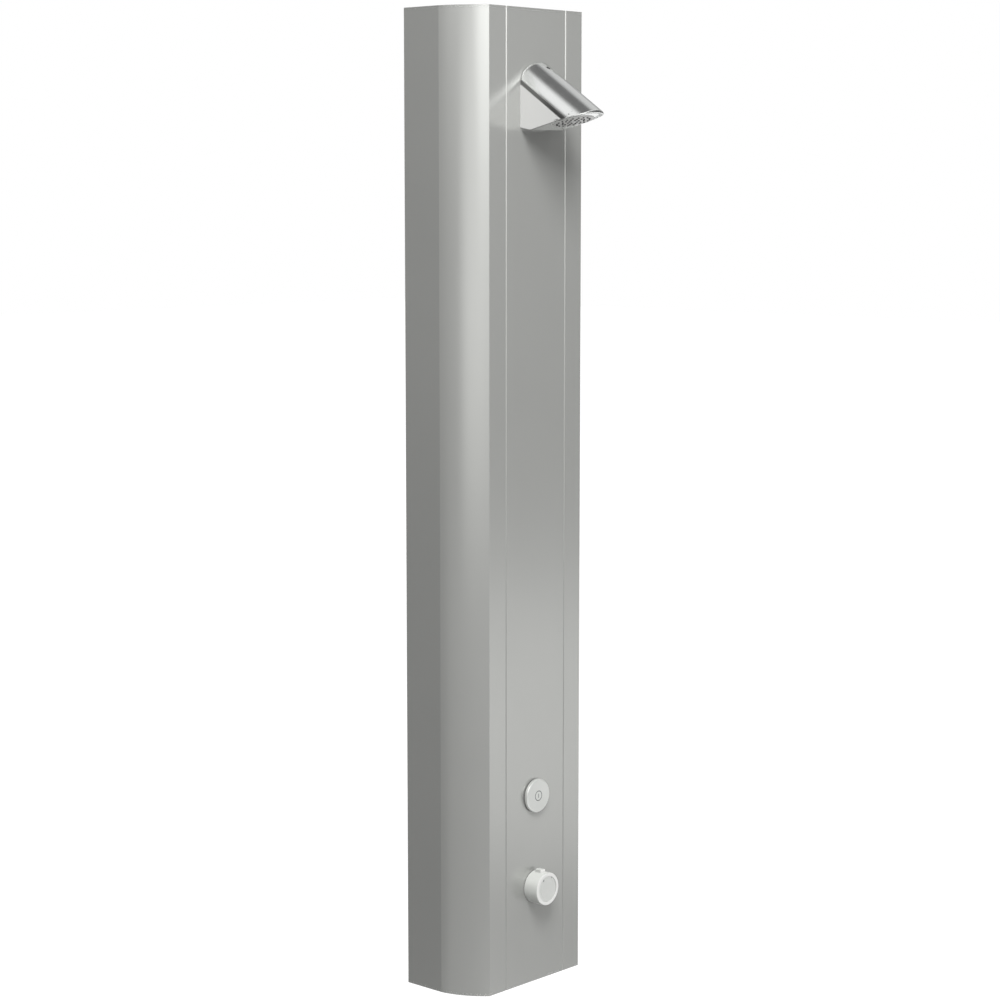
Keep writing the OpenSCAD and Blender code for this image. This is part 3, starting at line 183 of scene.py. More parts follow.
# Finishes: colours shade from one to the other, and roughness follows the grain. A second, overlaid look gives the
# cheeks a matt finish, paints a dark reflection along their upper edge, paints shade on the wall of the set screw's
# hole, and makes the satin faces turned to the front paler, partly a turned finish and partly painted light.
finishes = {
    "anodised_shell": {"colours": ((0.385, 0.39, 0.375), (0.405, 0.41, 0.395)), "metal": 0.5, "rough": (0.18, 0.24),
                       "grain": 900, "stretch": (1, 1, 0.02), "bump": 0.12, "depth": 0.02 * mm, "blotch": 3},
    "anodised_cap": {"colours": ((0.37, 0.375, 0.36), (0.39, 0.395, 0.38)), "metal": 0.5, "rough": (0.22, 0.3),
                     "grain": 700, "stretch": (0.05, 1, 1), "bump": 0.12, "depth": 0.02 * mm, "blotch": 6},
    "screw_steel": {"colours": ((0.55, 0.56, 0.56), (0.66, 0.67, 0.67)), "metal": 1.0, "rough": (0.22, 0.4),
                    "grain": 1400, "bump": 0.2, "depth": 0.02 * mm, "blotch": 60},
    "mill_aluminium": {"colours": ((0.46, 0.47, 0.47), (0.58, 0.59, 0.59)), "metal": 1.0, "rough": (0.3, 0.5),
                       "grain": 600, "stretch": (0.1, 1, 1), "bump": 0.3, "depth": 0.04 * mm, "blotch": 20},
    "head_chrome": {"colours": ((0.80, 0.81, 0.80), (0.84, 0.85, 0.84)), "metal": 1.0, "rough": (0.2, 0.24),
                    "grain": 120, "bump": 0.03, "depth": 0.02 * mm, "blotch": 12,
                    # painted reflection: a dark band along the upper edge of each cheek, standing in for the dark
                    # surroundings the chrome mirrors there
                    "edge": {"across": 27.6 * mm, "blend": 0.5 * mm,
                             "colour": (0.16, 0.16, 0.157), "metal": 0.9, "rough": 0.3},
                    "cheek": {"across": 28.6 * mm, "blend": 0.08 * mm,
                              "colour": (0.5, 0.5, 0.49), "metal": 0.12, "rough": 0.42},
                    # painted shade: a near-black wall in the set screw's hole, standing in for the shade inside it
                    "bore": {"start": centreOf("head_grub_screw"), "tilt": math.radians(15),
                             "radius": 2.5 * mm, "blend": 0.1 * mm,
                             "colour": (0.03, 0.03, 0.0294), "metal": 0.0, "rough": 0.6}},
    "satin_chrome": {"colours": ((0.50, 0.51, 0.49), (0.53, 0.54, 0.52)), "metal": 0.1, "rough": (0.28, 0.36),
                     # partly painted light: faces turned to the front are paler, a turned finish that also stands in
                     # for light the front catches
                     "front": {"turned": 0.8, "square": 0.95, "above": centreOf("housing_profile").z,
                               "blend": 10 * mm, "colour": (0.66, 0.66, 0.647), "metal": 0.12, "rough": 0.34},
                     "grain": 900, "bump": 0.1, "depth": 0.02 * mm, "blotch": 30},
    "knob_disc": {"colours": ((0.58, 0.59, 0.57), (0.62, 0.63, 0.61)), "metal": 0.5, "rough": (0.3, 0.42),
                  "grain": 900, "bump": 0.1, "depth": 0.02 * mm, "blotch": 40},
    "button_metal": {"colours": ((0.60, 0.61, 0.59), (0.64, 0.65, 0.63)), "metal": 0.6, "rough": (0.3, 0.4),
                     "grain": 900, "bump": 0.1, "depth": 0.02 * mm, "blotch": 30},
    "nozzle_rubber": {"colours": ((0.03, 0.03, 0.033), (0.06, 0.06, 0.065)), "metal": 0.0, "rough": (0.5, 0.65),
                      "grain": 1500, "bump": 0.2, "depth": 0.03 * mm, "blotch": 80},
    "brass": {"colours": ((0.62, 0.45, 0.20), (0.72, 0.55, 0.28)), "metal": 1.0, "rough": (0.24, 0.42),
              "grain": 500, "bump": 0.25, "depth": 0.05 * mm, "blotch": 25},
    "dark_steel": {"colours": ((0.10, 0.10, 0.105), (0.16, 0.16, 0.165)), "metal": 1.0, "rough": (0.35, 0.5),
                   "grain": 1400, "bump": 0.2, "depth": 0.02 * mm, "blotch": 80},
    "green_plastic": {"colours": ((0.10, 0.28, 0.14), (0.14, 0.34, 0.18)), "metal": 0.0, "rough": (0.4, 0.5),
                      "grain": 900, "bump": 0.15, "depth": 0.03 * mm, "blotch": 60},
    "copper": {"colours": ((0.66, 0.33, 0.20), (0.78, 0.45, 0.30)), "metal": 1.0, "rough": (0.22, 0.4),
               "grain": 500, "stretch": (1, 1, 0.04), "bump": 0.2, "depth": 0.03 * mm, "blotch": 18},
    "black_plastic": {"colours": ((0.022, 0.022, 0.025), (0.04, 0.04, 0.045)), "metal": 0.0, "rough": (0.42, 0.56),
                      "grain": 1100, "bump": 0.35, "depth": 0.04 * mm, "blotch": 30},
    "seal_rubber": {"colours": ((0.015, 0.015, 0.016), (0.03, 0.03, 0.032)), "metal": 0.0, "rough": (0.5, 0.7),
                    "grain": 900, "bump": 0.2, "depth": 0.03 * mm, "blotch": 60},
    "spring_steel": {"colours": ((0.52, 0.52, 0.53), (0.62, 0.62, 0.63)), "metal": 1.0, "rough": (0.2, 0.32),
                     "grain": 1500, "bump": 0.1, "depth": 0.02 * mm, "blotch": 90},
    "white_plastic": {"colours": ((0.66, 0.66, 0.64), (0.72, 0.72, 0.70)), "metal": 0.0, "rough": (0.38, 0.5),
                      "grain": 900, "bump": 0.15, "depth": 0.03 * mm, "blotch": 40},
    "blue_plastic": {"colours": ((0.04, 0.12, 0.30), (0.06, 0.16, 0.37)), "metal": 0.0, "rough": (0.36, 0.48),
                     "grain": 1000, "bump": 0.2, "depth": 0.03 * mm, "blotch": 40},
    "grey_plastic": {"colours": ((0.055, 0.06, 0.065), (0.08, 0.085, 0.09)), "metal": 0.0, "rough": (0.45, 0.6),
                     "grain": 1200, "bump": 0.4, "depth": 0.05 * mm, "blotch": 20},
    "cable_rubber": {"colours": ((0.02, 0.02, 0.022), (0.035, 0.035, 0.038)), "metal": 0.0, "rough": (0.42, 0.58),
                     "grain": 1000, "bump": 0.15, "depth": 0.03 * mm, "blotch": 50},
    "satin_nickel": {"colours": ((0.50, 0.49, 0.46), (0.60, 0.59, 0.56)), "metal": 1.0, "rough": (0.25, 0.4),
                     "grain": 700, "bump": 0.2, "depth": 0.03 * mm, "blotch": 30},
    "hot_mark": {"colours": ((0.34, 0.03, 0.02), (0.44, 0.05, 0.035)), "metal": 0.0, "rough": (0.35, 0.5),
                 "grain": 900, "bump": 0.15, "depth": 0.03 * mm, "blotch": 60},
    "cold_mark": {"colours": ((0.02, 0.06, 0.34), (0.035, 0.09, 0.44)), "metal": 0.0, "rough": (0.35, 0.5),
                  "grain": 900, "bump": 0.15, "depth": 0.03 * mm, "blotch": 60},
    "zinc_sheet": {"colours": ((0.42, 0.44, 0.45), (0.56, 0.58, 0.59)), "metal": 1.0, "rough": (0.32, 0.48),
                   "grain": 300, "bump": 0.1, "depth": 0.02 * mm, "blotch": 10},
    "board_green": {"colours": ((0.02, 0.13, 0.05), (0.03, 0.19, 0.08)), "metal": 0.0, "rough": (0.3, 0.4),
                    "grain": 600, "bump": 0.1, "depth": 0.03 * mm, "blotch": 200},
    "cell_wrap": {"colours": ((0.34, 0.12, 0.03), (0.42, 0.17, 0.05)), "metal": 0.0, "rough": (0.25, 0.35),
                  "grain": 400, "bump": 0.1, "depth": 0.03 * mm, "blotch": 50},
}
materials = {}


def cheekShare(tree, look):            # 1 on the head's upright sides; set further in, also on the band above them where the dark reflection is painted
    across = maths(tree, "ABSOLUTE", parts(tree, objectPlace(tree))["X"])
    return spread(tree, across, 0, 1, look["across"], look["across"] + look["blend"])


def boreShare(tree, look):             # 1 on the wall of the set screw's hole, where shade is painted
    start = vectorMaths(tree, "SUBTRACT", "Vector", objectPlace(tree), look["start"])
    lean = (0, -math.sin(look["tilt"]), math.cos(look["tilt"]))
    aside = vectorMaths(tree, "CROSS_PRODUCT", "Vector", start, lean)
    far = vectorMaths(tree, "LENGTH", "Value", aside)
    return spread(tree, far, 1, 0, look["radius"], look["radius"] + look["blend"])


def frontShare(tree, look):            # 1 on faces turned to the front, where light is partly painted in as a paler colour, and on everything up at the head
    turned = parts(tree, addNode(tree, "ShaderNodeTexCoord").outputs["Normal"])
    front = spread(tree, turned["Y"], 0, 1, -look["turned"], -look["square"])
    above = spread(tree, parts(tree, objectPlace(tree))["Z"], 0, 1, look["above"], look["above"] + look["blend"])
    return maths(tree, "MAXIMUM", front, above)


shares = {"edge": cheekShare, "cheek": cheekShare, "bore": boreShare, "front": frontShare}


def overlay(tree, shader, look, share):   # a second look where share is 1: the cheeks' matt finish, the painted reflection on their upper edge, the painted shade in the screw's hole, and the paler front faces, partly painted light
    for socket, other in (("Metallic", look["metal"]), ("Roughness", look["rough"])):
        plain = shader.inputs[socket]
        low = plain.links[0].from_socket if plain.links else plain.default_value
        tree.links.new(spread(tree, share, low, other, 0, 1), plain)
    base = shader.inputs["Base Color"]
    tree.links.new(mixColours(tree, share, base.links[0].from_socket, solid(look["colour"])), base)


def makeFinish(slot):
    if slot not in materials:
        look = finishes[slot]
        material, tree, shader = startMaterial(slot, {"Metallic": look["metal"]})
        blotch = noiseOn(tree, look["blotch"])
        grain = noiseOn(tree, look["grain"], look.get("stretch", (1, 1, 1)), detail=4.0)
        colour = mixColours(tree, spread(tree, blotch, 0, 1), *map(solid, look["colours"]))
        tree.links.new(colour, shader.inputs["Base Color"])
        tree.links.new(spread(tree, grain, *look["rough"]), shader.inputs["Roughness"])
        addBump(tree, shader, grain, look["bump"], look["depth"])
        for kind, share in shares.items():
            if kind in look:
                overlay(tree, shader, look[kind], share(tree, look[kind]))
        materials[slot] = material
    return materials[slot]


def dressNodes():
    for part in frame["record"]["subparts"]:
        mesh = nodes[part["node"]].data
        mesh.materials.clear()
        mesh.materials.append(makeFinish(part["material_slot"]))


dressNodes()
print("finishes:", len(materials))


def finishPiece(mesh, name, slot, body):
    piece = addObject(name, mesh)
    mesh.materials.clear()
    mesh.materials.append(makeFinish(slot))
    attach(piece, body)
    return piece


# Shower head: a rounded back over flat cheeks, with a round nose and a flat spray face
headLook = {
    "slope": math.radians(33.5),       # upper side, below level
    "sprayTilt": math.radians(13.4),   # spray face, above level
    "axisRise": 15.2 * mm,             # rounded back's axis above the inlet, at the panel
    "heelOut": 16 * mm,
    "heelRise": 2.7 * mm,
    "noseRadius": 31 * mm,
    "rimRound": 0.8 * mm,              # between the back and the nose
    "footRound": 0.6 * mm,             # lower edge
    "heelRound": 5 * mm,
    "rearRound": 7 * mm,               # upper edge at the panel, on the crest
    "crestEase": 1.5,                  # how the rear rounding dies out towards the cheeks
    "spineStart": 12 * mm,             # the rows fan out from a line inside the head
    "columnStep": 1.9 * mm,
    "crownRows": 14,                   # rows of faces, with the shared rows at their ends counted in
    "wallRows": 9,
    "faceRows": 7,
    "rimSteps": [8, 6.4, 5, 3.8, 2.8, 2, 1.2, 0.5, 0, -0.5, -1.2, -2, -2.8, -3.8, -5],   # in mm from the edge
    "footSteps": [1.6, 1.1, 0.75, 0.5, 0.25, 0, -0.25, -0.5, -0.75],
    "searches": 40,                    # halvings of each ray, to find the surface
    "sprayOut": 58.5 * mm,
    "recessRadius": 25.5 * mm,
    "recessDepth": 4.5 * mm,
    "socketRadius": 10.6 * mm,
    "socketDepth": 20 * mm,
    "socketStart": 2 * mm,             # how far the drill stands clear of the surface
    "grubStart": 4 * mm,
    "grubOut": 19 * mm,
    "grubRadius": 2.5 * mm,
    "grubDepth": 29 * mm,
    "grubTilt": finishes["head_chrome"]["bore"]["tilt"],
    "grubSides": 40,
    "onForm": 2e-6,                    # a corner this close to the form takes the form's normal,
    "sameWay": 0.8,                    # if the cosine of its angle to the face's own is above this
}
hair, nothing, nearlyOne = 1e-6, 1e-9, 0.999   # a gap to close, a least divisor, a cosine short of parallel


def filleted(one, other, radius):      # rounds the edge of two distance fields, each (value, gradient)
    a, b = one[0] + radius, other[0] + radius
    cosine = np.clip(np.sum(one[1] * other[1], axis=1), -nearlyOne, nearlyOne)
    sineSquared = 1 - cosine ** 2
    onEdge = (a > b * cosine) & (b > a * cosine) & (a + b > 0)
    distance = np.sqrt(np.maximum(a * a + b * b - 2 * a * b * cosine, nothing ** 2) / sineSquared)
    pull = (a - b * cosine)[:, None] * one[1] + (b - a * cosine)[:, None] * other[1]
    value = np.where(onEdge, distance, np.maximum(a, b)) - radius
    farther = np.where((a > b)[:, None], one[1], other[1])
    return value, np.where(onEdge[:, None], pull / (sineSquared * distance)[:, None], farther)


def facing(like, across, out, up):     # one direction, repeated for every point
    return np.tile(np.array([across, out, up], float), (len(like), 1))


class HeadShape:                       # points are (across, out from the panel, up)
    def __init__(self, look):
        corner = lowCorner("head_body")
        self.look = look
        self.radius = highCorner("head_body").x
        self.reach = panelFront - corner.y
        self.inletUp = centreOf("head_nipple").z
        self.axisUp = self.inletUp + look["axisRise"]
        self.heelUp = corner.z
        self.noseOut = self.reach - look["noseRadius"]

    def axisAt(self, out):
        return self.axisUp - out * math.tan(self.look["slope"])

    def sprayAt(self, out):
        return self.heelUp + (out - self.look["heelOut"]) * math.tan(self.look["sprayTilt"])

    def bottomAt(self, out):
        heel = self.heelUp + self.look["heelRise"] * (1 - out / self.look["heelOut"])
        return np.maximum(self.sprayAt(out), heel)

    def topAt(self, across, out):
        rise = np.sqrt(np.maximum(self.radius ** 2 - across ** 2, 0))
        return self.axisAt(out) + rise / math.cos(self.look["slope"])

    def distance(self, points):
        look = self.look
        across, out, up = points.T
        slope, tilt = look["slope"], look["sprayTilt"]
        lean = math.atan2(look["heelRise"], look["heelOut"])
        over = np.maximum((up - self.axisAt(out)) * math.cos(slope), 0)
        size = np.maximum(np.hypot(across, over), nothing)[:, None]
        back = (size[:, 0] - self.radius,
                np.stack([across, over * math.sin(slope), over * math.cos(slope)], 1) / size)
        ahead = np.maximum(out - self.noseOut, 0)
        size = np.maximum(np.hypot(across, ahead), nothing)[:, None]
        nose = (size[:, 0] - look["noseRadius"], np.stack([across, ahead, 0 * up], 1) / size)
        spray = ((self.sprayAt(out) - up) * math.cos(tilt), facing(up, 0, math.sin(tilt), -math.cos(tilt)))
        heelUp = self.heelUp + look["heelRise"] * (1 - out / look["heelOut"])
        heel = ((heelUp - up) * math.cos(lean), facing(up, 0, -math.sin(lean), -math.cos(lean)))
        rear = (-out, facing(up, 0, -1, 0))
        crest = np.clip(over / self.radius, 0, 1) ** look["crestEase"]
        foot = filleted(spray, heel, look["heelRound"])
        body = filleted(filleted(back, nose, look["rimRound"]), foot, look["footRound"])
        return filleted(body, rear, look["rearRound"] * crest + hair)

    def outline(self):                 # plan points of the upright walls, once round
        step, bow = self.look["columnStep"], self.look["noseRadius"]
        turn = math.acos(self.radius / bow)
        corner = self.noseOut + bow * math.sin(turn)
        cheek = np.linspace(0, corner, 2 + int(corner / step))
        arc = np.linspace(turn, math.pi - turn, 2 + int(bow * (math.pi - 2 * turn) / step))
        rear = np.linspace(-self.radius, self.radius, 2 + int(2 * self.radius / step))
        plan = [(self.radius, out) for out in cheek[:-1]]
        plan += [(bow * math.cos(a), self.noseOut + bow * math.sin(a)) for a in arc[:-1]]
        plan += [(-self.radius, out) for out in cheek[:0:-1]]
        plan += [(x, 0.0) for x in rear[:-1]]
        return np.array(plan)

    def onSurface(self, centres, rays):
        near, far = np.zeros(len(rays)), np.full(len(rays), 2 * self.reach)
        for _ in range(self.look["searches"]):
            middle = (near + far) / 2
            inside = self.distance(centres + rays * middle[:, None])[0] < 0
            near, far = np.where(inside, middle, near), np.where(inside, far, middle)
        return centres + rays * middle[:, None]


def headTurns(shape, plan, length, heart):   # angles of the rows, seen from the heart of the head
    look = shape.look
    rim = np.arctan2(shape.topAt(plan[:, 0], plan[:, 1]) - heart, length)
    foot = np.arctan2(shape.bottomAt(plan[:, 1]) - heart, length)
    rimTurns = [np.arctan2(s * mm, length / np.cos(rim)) + rim for s in look["rimSteps"]]
    footTurns = [np.arctan2(s * mm, length / np.cos(foot)) + foot for s in look["footSteps"]]
    crown = np.linspace(0, 1, look["crownRows"])[:-1]
    wall = np.linspace(0, 1, look["wallRows"])[1:-1]
    return ([np.pi / 2 + (rimTurns[0] - np.pi / 2) * s for s in crown] + rimTurns
            + [rimTurns[-1] + (footTurns[0] - rimTurns[-1]) * s for s in wall] + footTurns)


def headRows(shape):                   # rows of points from the crest, over the walls, to the recess
    look = shape.look
    plan = shape.outline()
    spine = np.stack([0 * plan[:, 0], np.clip(plan[:, 1], look["spineStart"], shape.noseOut)], 1)
    inward = plan - spine
    length = np.linalg.norm(inward, axis=1)
    heart = (shape.bottomAt(spine[:, 1]) + shape.topAt(0 * length, spine[:, 1])) / 2
    centres = np.stack([spine[:, 0], spine[:, 1], heart], 1)
    flat = inward / length[:, None]
    rows = []
    for turn in headTurns(shape, plan, length, heart):
        rays = np.stack([flat[:, 0] * np.cos(turn), flat[:, 1] * np.cos(turn), np.sin(turn)], 1)
        rows.append(shape.onSurface(centres, rays))
    around = np.arctan2(plan[:, 1] - look["sprayOut"], plan[:, 0])
    tilt = look["sprayTilt"]
    rings = []
    for radius, depth in ((1, 0), (1, 1), (0.5, 1), (0, 1)):   # shares of the recess
        r, d = radius * look["recessRadius"], depth * look["recessDepth"]
        out = look["sprayOut"] + r * np.sin(around) * math.cos(tilt) - d * math.sin(tilt)
        up = shape.sprayAt(look["sprayOut"]) + r * np.sin(around) * math.sin(tilt) + d * math.cos(tilt)
        rings.append(np.stack([r * np.cos(around), out, up], 1))
    last = rows[-1]
    for s in np.linspace(0, 1, look["faceRows"])[1:-1]:
        between = last + (rings[0] - last) * s
        between[:, 2] = shape.bottomAt(between[:, 1])
        rows.append(between)
    return rows + rings


def makeHead(look):
    shape = HeadShape(look)
    rows = headRows(shape)
    made = bmesh.new()
    grid = [[made.verts.new((p[0], panelFront - p[1], p[2])) for p in row] for row in rows]
    count = len(grid[0])
    for upper, lower in zip(grid, grid[1:]):
        for k in range(count):
            j = (k + 1) % count
            made.faces.new((upper[k], upper[j], lower[j], lower[k]))
    bmesh.ops.remove_doubles(made, verts=made.verts, dist=hair)
    bmesh.ops.dissolve_degenerate(made, edges=made.edges, dist=hair / 10)
    bmesh.ops.recalc_face_normals(made, faces=made.faces)
    return shape, meshFrom(made, "headShell")


def checkClosed(mesh):                 # open or doubled edges, and the volume
    made = bmesh.new()
    made.from_mesh(mesh)
    loose = sum(not e.is_manifold for e in made.edges)
    volume = made.calc_volume(signed=True)
    made.free()
    return loose, volume


def cutAway(mesh, tools):              # drills closed tools out of a closed mesh
    base = addObject("base", mesh)
    for tool in tools:
        drill = base.modifiers.new("drill", "BOOLEAN")
        drill.operation, drill.solver, drill.object = "DIFFERENCE", "EXACT", tool
    done = evaluatedMesh(base)
    for used in (base, *tools):
        bpy.data.objects.remove(used)
    return done


def rodTool(radius, start, end, sides=64):
    made = bmesh.new()
    line = Vector(end) - Vector(start)
    turn = line.to_track_quat("Z", "Y").to_matrix().to_4x4()
    bmesh.ops.create_cone(made, cap_ends=True, segments=sides, radius1=radius, radius2=radius, depth=line.length,
                          matrix=Matrix.Translation((Vector(start) + Vector(end)) / 2) @ turn)
    return addObject("tool", meshFrom(made, "tool"))


def boreHead(shape, mesh):
    look = shape.look
    inlet = Vector((0, panelFront, shape.inletUp))
    ends = (inlet + Vector((0, look["socketStart"], 0)), inlet - Vector((0, look["socketDepth"], 0)))
    socket = rodTool(look["socketRadius"], *ends)
    crest = Vector((0, panelFront - look["grubOut"], float(shape.topAt(0, look["grubOut"]))))
    lean = Vector((0, -math.sin(look["grubTilt"]), math.cos(look["grubTilt"])))
    ends = (crest + lean * look["grubStart"], crest - lean * look["grubDepth"])
    grub = rodTool(look["grubRadius"], *ends, look["grubSides"])
    return cutAway(mesh, [socket, grub])


def exactNormals(shape, mesh):         # true surface normals on the form, face normals elsewhere
    count = len(mesh.vertices)
    place = np.empty(3 * count)
    mesh.vertices.foreach_get("co", place)
    place = place.reshape(-1, 3)
    across, out, up = place[:, 0], panelFront - place[:, 1], place[:, 2]
    value, slopes = shape.distance(np.stack([across, out, up], 1))
    slopes = slopes / np.linalg.norm(slopes, axis=1)[:, None]
    smooth = np.stack([slopes[:, 0], -slopes[:, 1], slopes[:, 2]], 1)
    on = np.abs(value) < shape.look["onForm"]
    shown = []
    for face in mesh.polygons:
        flat = np.array(face.normal)
        for vertex in face.vertices:
            good = on[vertex] and float(smooth[vertex] @ flat) > shape.look["sameWay"]
            shown.append(tuple(smooth[vertex]) if good else tuple(flat))
        face.use_smooth = True
    mesh.normals_split_custom_set(shown)


headShape, headMesh = makeHead(headLook)
headMesh = boreHead(headShape, headMesh)
exactNormals(headShape, headMesh)
headShell = finishPiece(headMesh, "headShell", "head_chrome", "panel")
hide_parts("head_body")
print("head:", len(headMesh.polygons), "faces")


creaseAngle = math.radians(32)


def roundOff(mesh):                    # smooth faces, sharp creases
    mesh.shade_smooth()
    mesh.set_sharp_from_angle(angle=creaseAngle)
    return mesh


# Geometry Nodes helpers
def startTree(name, numbers, whole=()):
    tree = bpy.data.node_groups.new(name, "GeometryNodeTree")
    tree.interface.new_socket("Geometry", in_out="INPUT", socket_type="NodeSocketGeometry")
    for label in (*numbers, *whole):
        kind = "NodeSocketInt" if label in whole else "NodeSocketFloat"
        tree.interface.new_socket(label, in_out="INPUT", socket_type=kind)
    tree.interface.new_socket("Finish", in_out="INPUT", socket_type="NodeSocketMaterial")
    tree.interface.new_socket("Geometry", in_out="OUTPUT", socket_type="NodeSocketGeometry")
    return tree, tree.nodes.new("NodeGroupInput").outputs, tree.nodes.new("NodeGroupOutput")


def endTree(tree, inputs, geometry, output):
    real = addNode(tree, "GeometryNodeRealizeInstances", {"Geometry": geometry})
    painted = addNode(tree, "GeometryNodeSetMaterial", {"Geometry": real.outputs[0], "Material": inputs["Finish"]})
    tree.links.new(painted.outputs[0], output.inputs["Geometry"])


def growPiece(name, tree, inputs, slot, body, seed=None):
    grower = addObject(name + "Grower", seed or bpy.data.meshes.new(name))
    modifier = grower.modifiers.new("grow", "NODES")
    modifier.node_group = tree
    sockets = {item.name: item.identifier for item in tree.interface.items_tree
               if item.item_type == "SOCKET" and item.in_out == "INPUT"}
    for label, value in inputs.items():
        modifier[sockets[label]] = value
    modifier[sockets["Finish"]] = makeFinish(slot)
    grown = evaluatedMesh(grower)
    bpy.data.objects.remove(grower)
    return finishPiece(grown, name, slot, body)


# Nozzle mat: rings of bored nozzles on a round sheet, behind the spray plate
nozzleLook = {
    "First Ring": 6,
    "Rings": 3,
    "Ring Gap": 6.6 * mm,
    "Nozzle Radius": 1.12 * mm,
    "Bore Radius": 0.45 * mm,
    "Tip": -1.6 * mm,
    "Sheet Low": 3 * mm,
    "Sheet High": 4.5 * mm,
    "Sheet Radius": 20.9 * mm,
    "Post Radius": 4.6 * mm,
    "Sunk": 0.2 * mm,                  # how far the nozzles end inside the sheet
    "Nozzle Rounding": 0.2 * mm,
    "Sheet Rounding": 0.3 * mm,
    "Rounding Steps": 3,
    "Nozzle Sides": 24,
    "Sheet Sides": 96,
}
counted = ("First Ring", "Rings", "Rounding Steps", "Nozzle Sides", "Sheet Sides")


def turnedRing(tree, outer, inner, low, high, rounding, steps, sides):
    middle = maths(tree, "MULTIPLY", maths(tree, "ADD", outer, inner), 0.5)
    circle = addNode(tree, "GeometryNodeCurvePrimitiveCircle", {"Resolution": sides, "Radius": middle})
    profile = addNode(tree, "GeometryNodeCurvePrimitiveQuadrilateral", {
        "Width": maths(tree, "SUBTRACT", outer, inner), "Height": maths(tree, "SUBTRACT", high, low)})
    rounded = addNode(tree, "GeometryNodeFilletCurve", {"Curve": profile.outputs[0], "Radius": rounding,
                                                        "Count": steps}, mode="POLY")
    swept = addNode(tree, "GeometryNodeCurveToMesh", {"Curve": circle.outputs[0], "Profile Curve": rounded.outputs[0]})
    lift = addNode(tree, "ShaderNodeCombineXYZ", {"Z": maths(tree, "MULTIPLY", maths(tree, "ADD", low, high), 0.5)})
    return addNode(tree, "GeometryNodeTransform", {"Geometry": swept.outputs[0],
                                                   "Translation": lift.outputs[0]}).outputs[0]


def nozzleTree():
    tree, inputs, output = startTree("nozzleMat", [label for label in nozzleLook if label not in counted], counted)
    half = maths(tree, "MULTIPLY", inputs["First Ring"], 0.5)
    last = maths(tree, "MULTIPLY", inputs["Rings"], maths(tree, "ADD", inputs["Rings"], 1))
    points = addNode(tree, "GeometryNodePoints", {"Count": maths(tree, "MULTIPLY", half, last)})
    index = addNode(tree, "GeometryNodeInputIndex").outputs[0]
    # the ring holding a point, from the sum of the rings before it; 0.1 keeps a ring's first point in its ring
    share = maths(tree, "DIVIDE", maths(tree, "MULTIPLY_ADD", index, 8, 0.1), inputs["First Ring"])
    root = maths(tree, "SQRT", maths(tree, "ADD", share, 1))
    ring = maths(tree, "FLOOR", maths(tree, "MULTIPLY_ADD", root, 0.5, 0.5))
    before = maths(tree, "MULTIPLY", half, maths(tree, "MULTIPLY", ring, maths(tree, "SUBTRACT", ring, 1)))
    around = maths(tree, "DIVIDE", maths(tree, "SUBTRACT", index, before),
                   maths(tree, "MULTIPLY", ring, inputs["First Ring"]))
    angle = maths(tree, "MULTIPLY", around, 2 * math.pi)
    reach = maths(tree, "MULTIPLY", ring, inputs["Ring Gap"])
    place = addNode(tree, "ShaderNodeCombineXYZ", {
        "X": maths(tree, "MULTIPLY", reach, maths(tree, "COSINE", angle)),
        "Y": maths(tree, "MULTIPLY", reach, maths(tree, "SINE", angle))})
    placed = addNode(tree, "GeometryNodeSetPosition", {"Geometry": points.outputs[0], "Position": place.outputs[0]})
    nozzle = turnedRing(tree, inputs["Nozzle Radius"], inputs["Bore Radius"], inputs["Tip"],
                        maths(tree, "SUBTRACT", inputs["Sheet High"], inputs["Sunk"]),
                        inputs["Nozzle Rounding"], inputs["Rounding Steps"], inputs["Nozzle Sides"])
    nozzles = addNode(tree, "GeometryNodeInstanceOnPoints", {"Points": placed.outputs[0], "Instance": nozzle})
    sheet = turnedRing(tree, inputs["Sheet Radius"], inputs["Post Radius"], inputs["Sheet Low"], inputs["Sheet High"],
                       inputs["Sheet Rounding"], inputs["Rounding Steps"], inputs["Sheet Sides"])
    joined = addNode(tree, "GeometryNodeJoinGeometry")
    tree.links.new(nozzles.outputs[0], joined.inputs[0])
    tree.links.new(sheet, joined.inputs[0])
    endTree(tree, inputs, joined.outputs[0], output)
    return tree


nozzleMat = growPiece("nozzleMat", nozzleTree(), nozzleLook, "nozzle_rubber", "panel")
sprayOut = headLook["sprayOut"]
sprayCentre = Matrix.Translation((0, panelFront - sprayOut, float(headShape.sprayAt(sprayOut))))
nozzleMat.data.transform(sprayCentre @ Matrix.Rotation(-headLook["sprayTilt"], 4, "X"))
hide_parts("spray_nozzles")
print("nozzles:", len(nozzleMat.data.polygons), "faces", checkClosed(nozzleMat.data))


# Leads: round sheath swept along a smooth line through the route points, in millimetres
leadLook = {
    "Sheath Radius": 1.97 * mm,
    "Spacing": 1.5 * mm,
    "Sides": 20,
    "Steps": 16,                       # between two route points, before the even spacing
    "routes": {
        "switch_cable": [(17.1, -88.5, -279.5), (20.1, -88.5, -279.5), (23.2, -88.5, -279.5), (26.3, -88.5, -271.5),
                         (26.3, -92, -251.5), (26.3, -92, -187.5), (26.3, -92, -155.5), (24, -92, -111.5),
                         (24, -92, -95.5)],
        "valve_cable": [(33.5, -70, -166.2), (33.5, -70, -158.22), (32.8, -72.2, -147.18), (27.86, -78.36, -132),
                        (17.99, -86.5, -115.44), (10, -92, -103.5), (10, -92, -95.5)],
    },
}


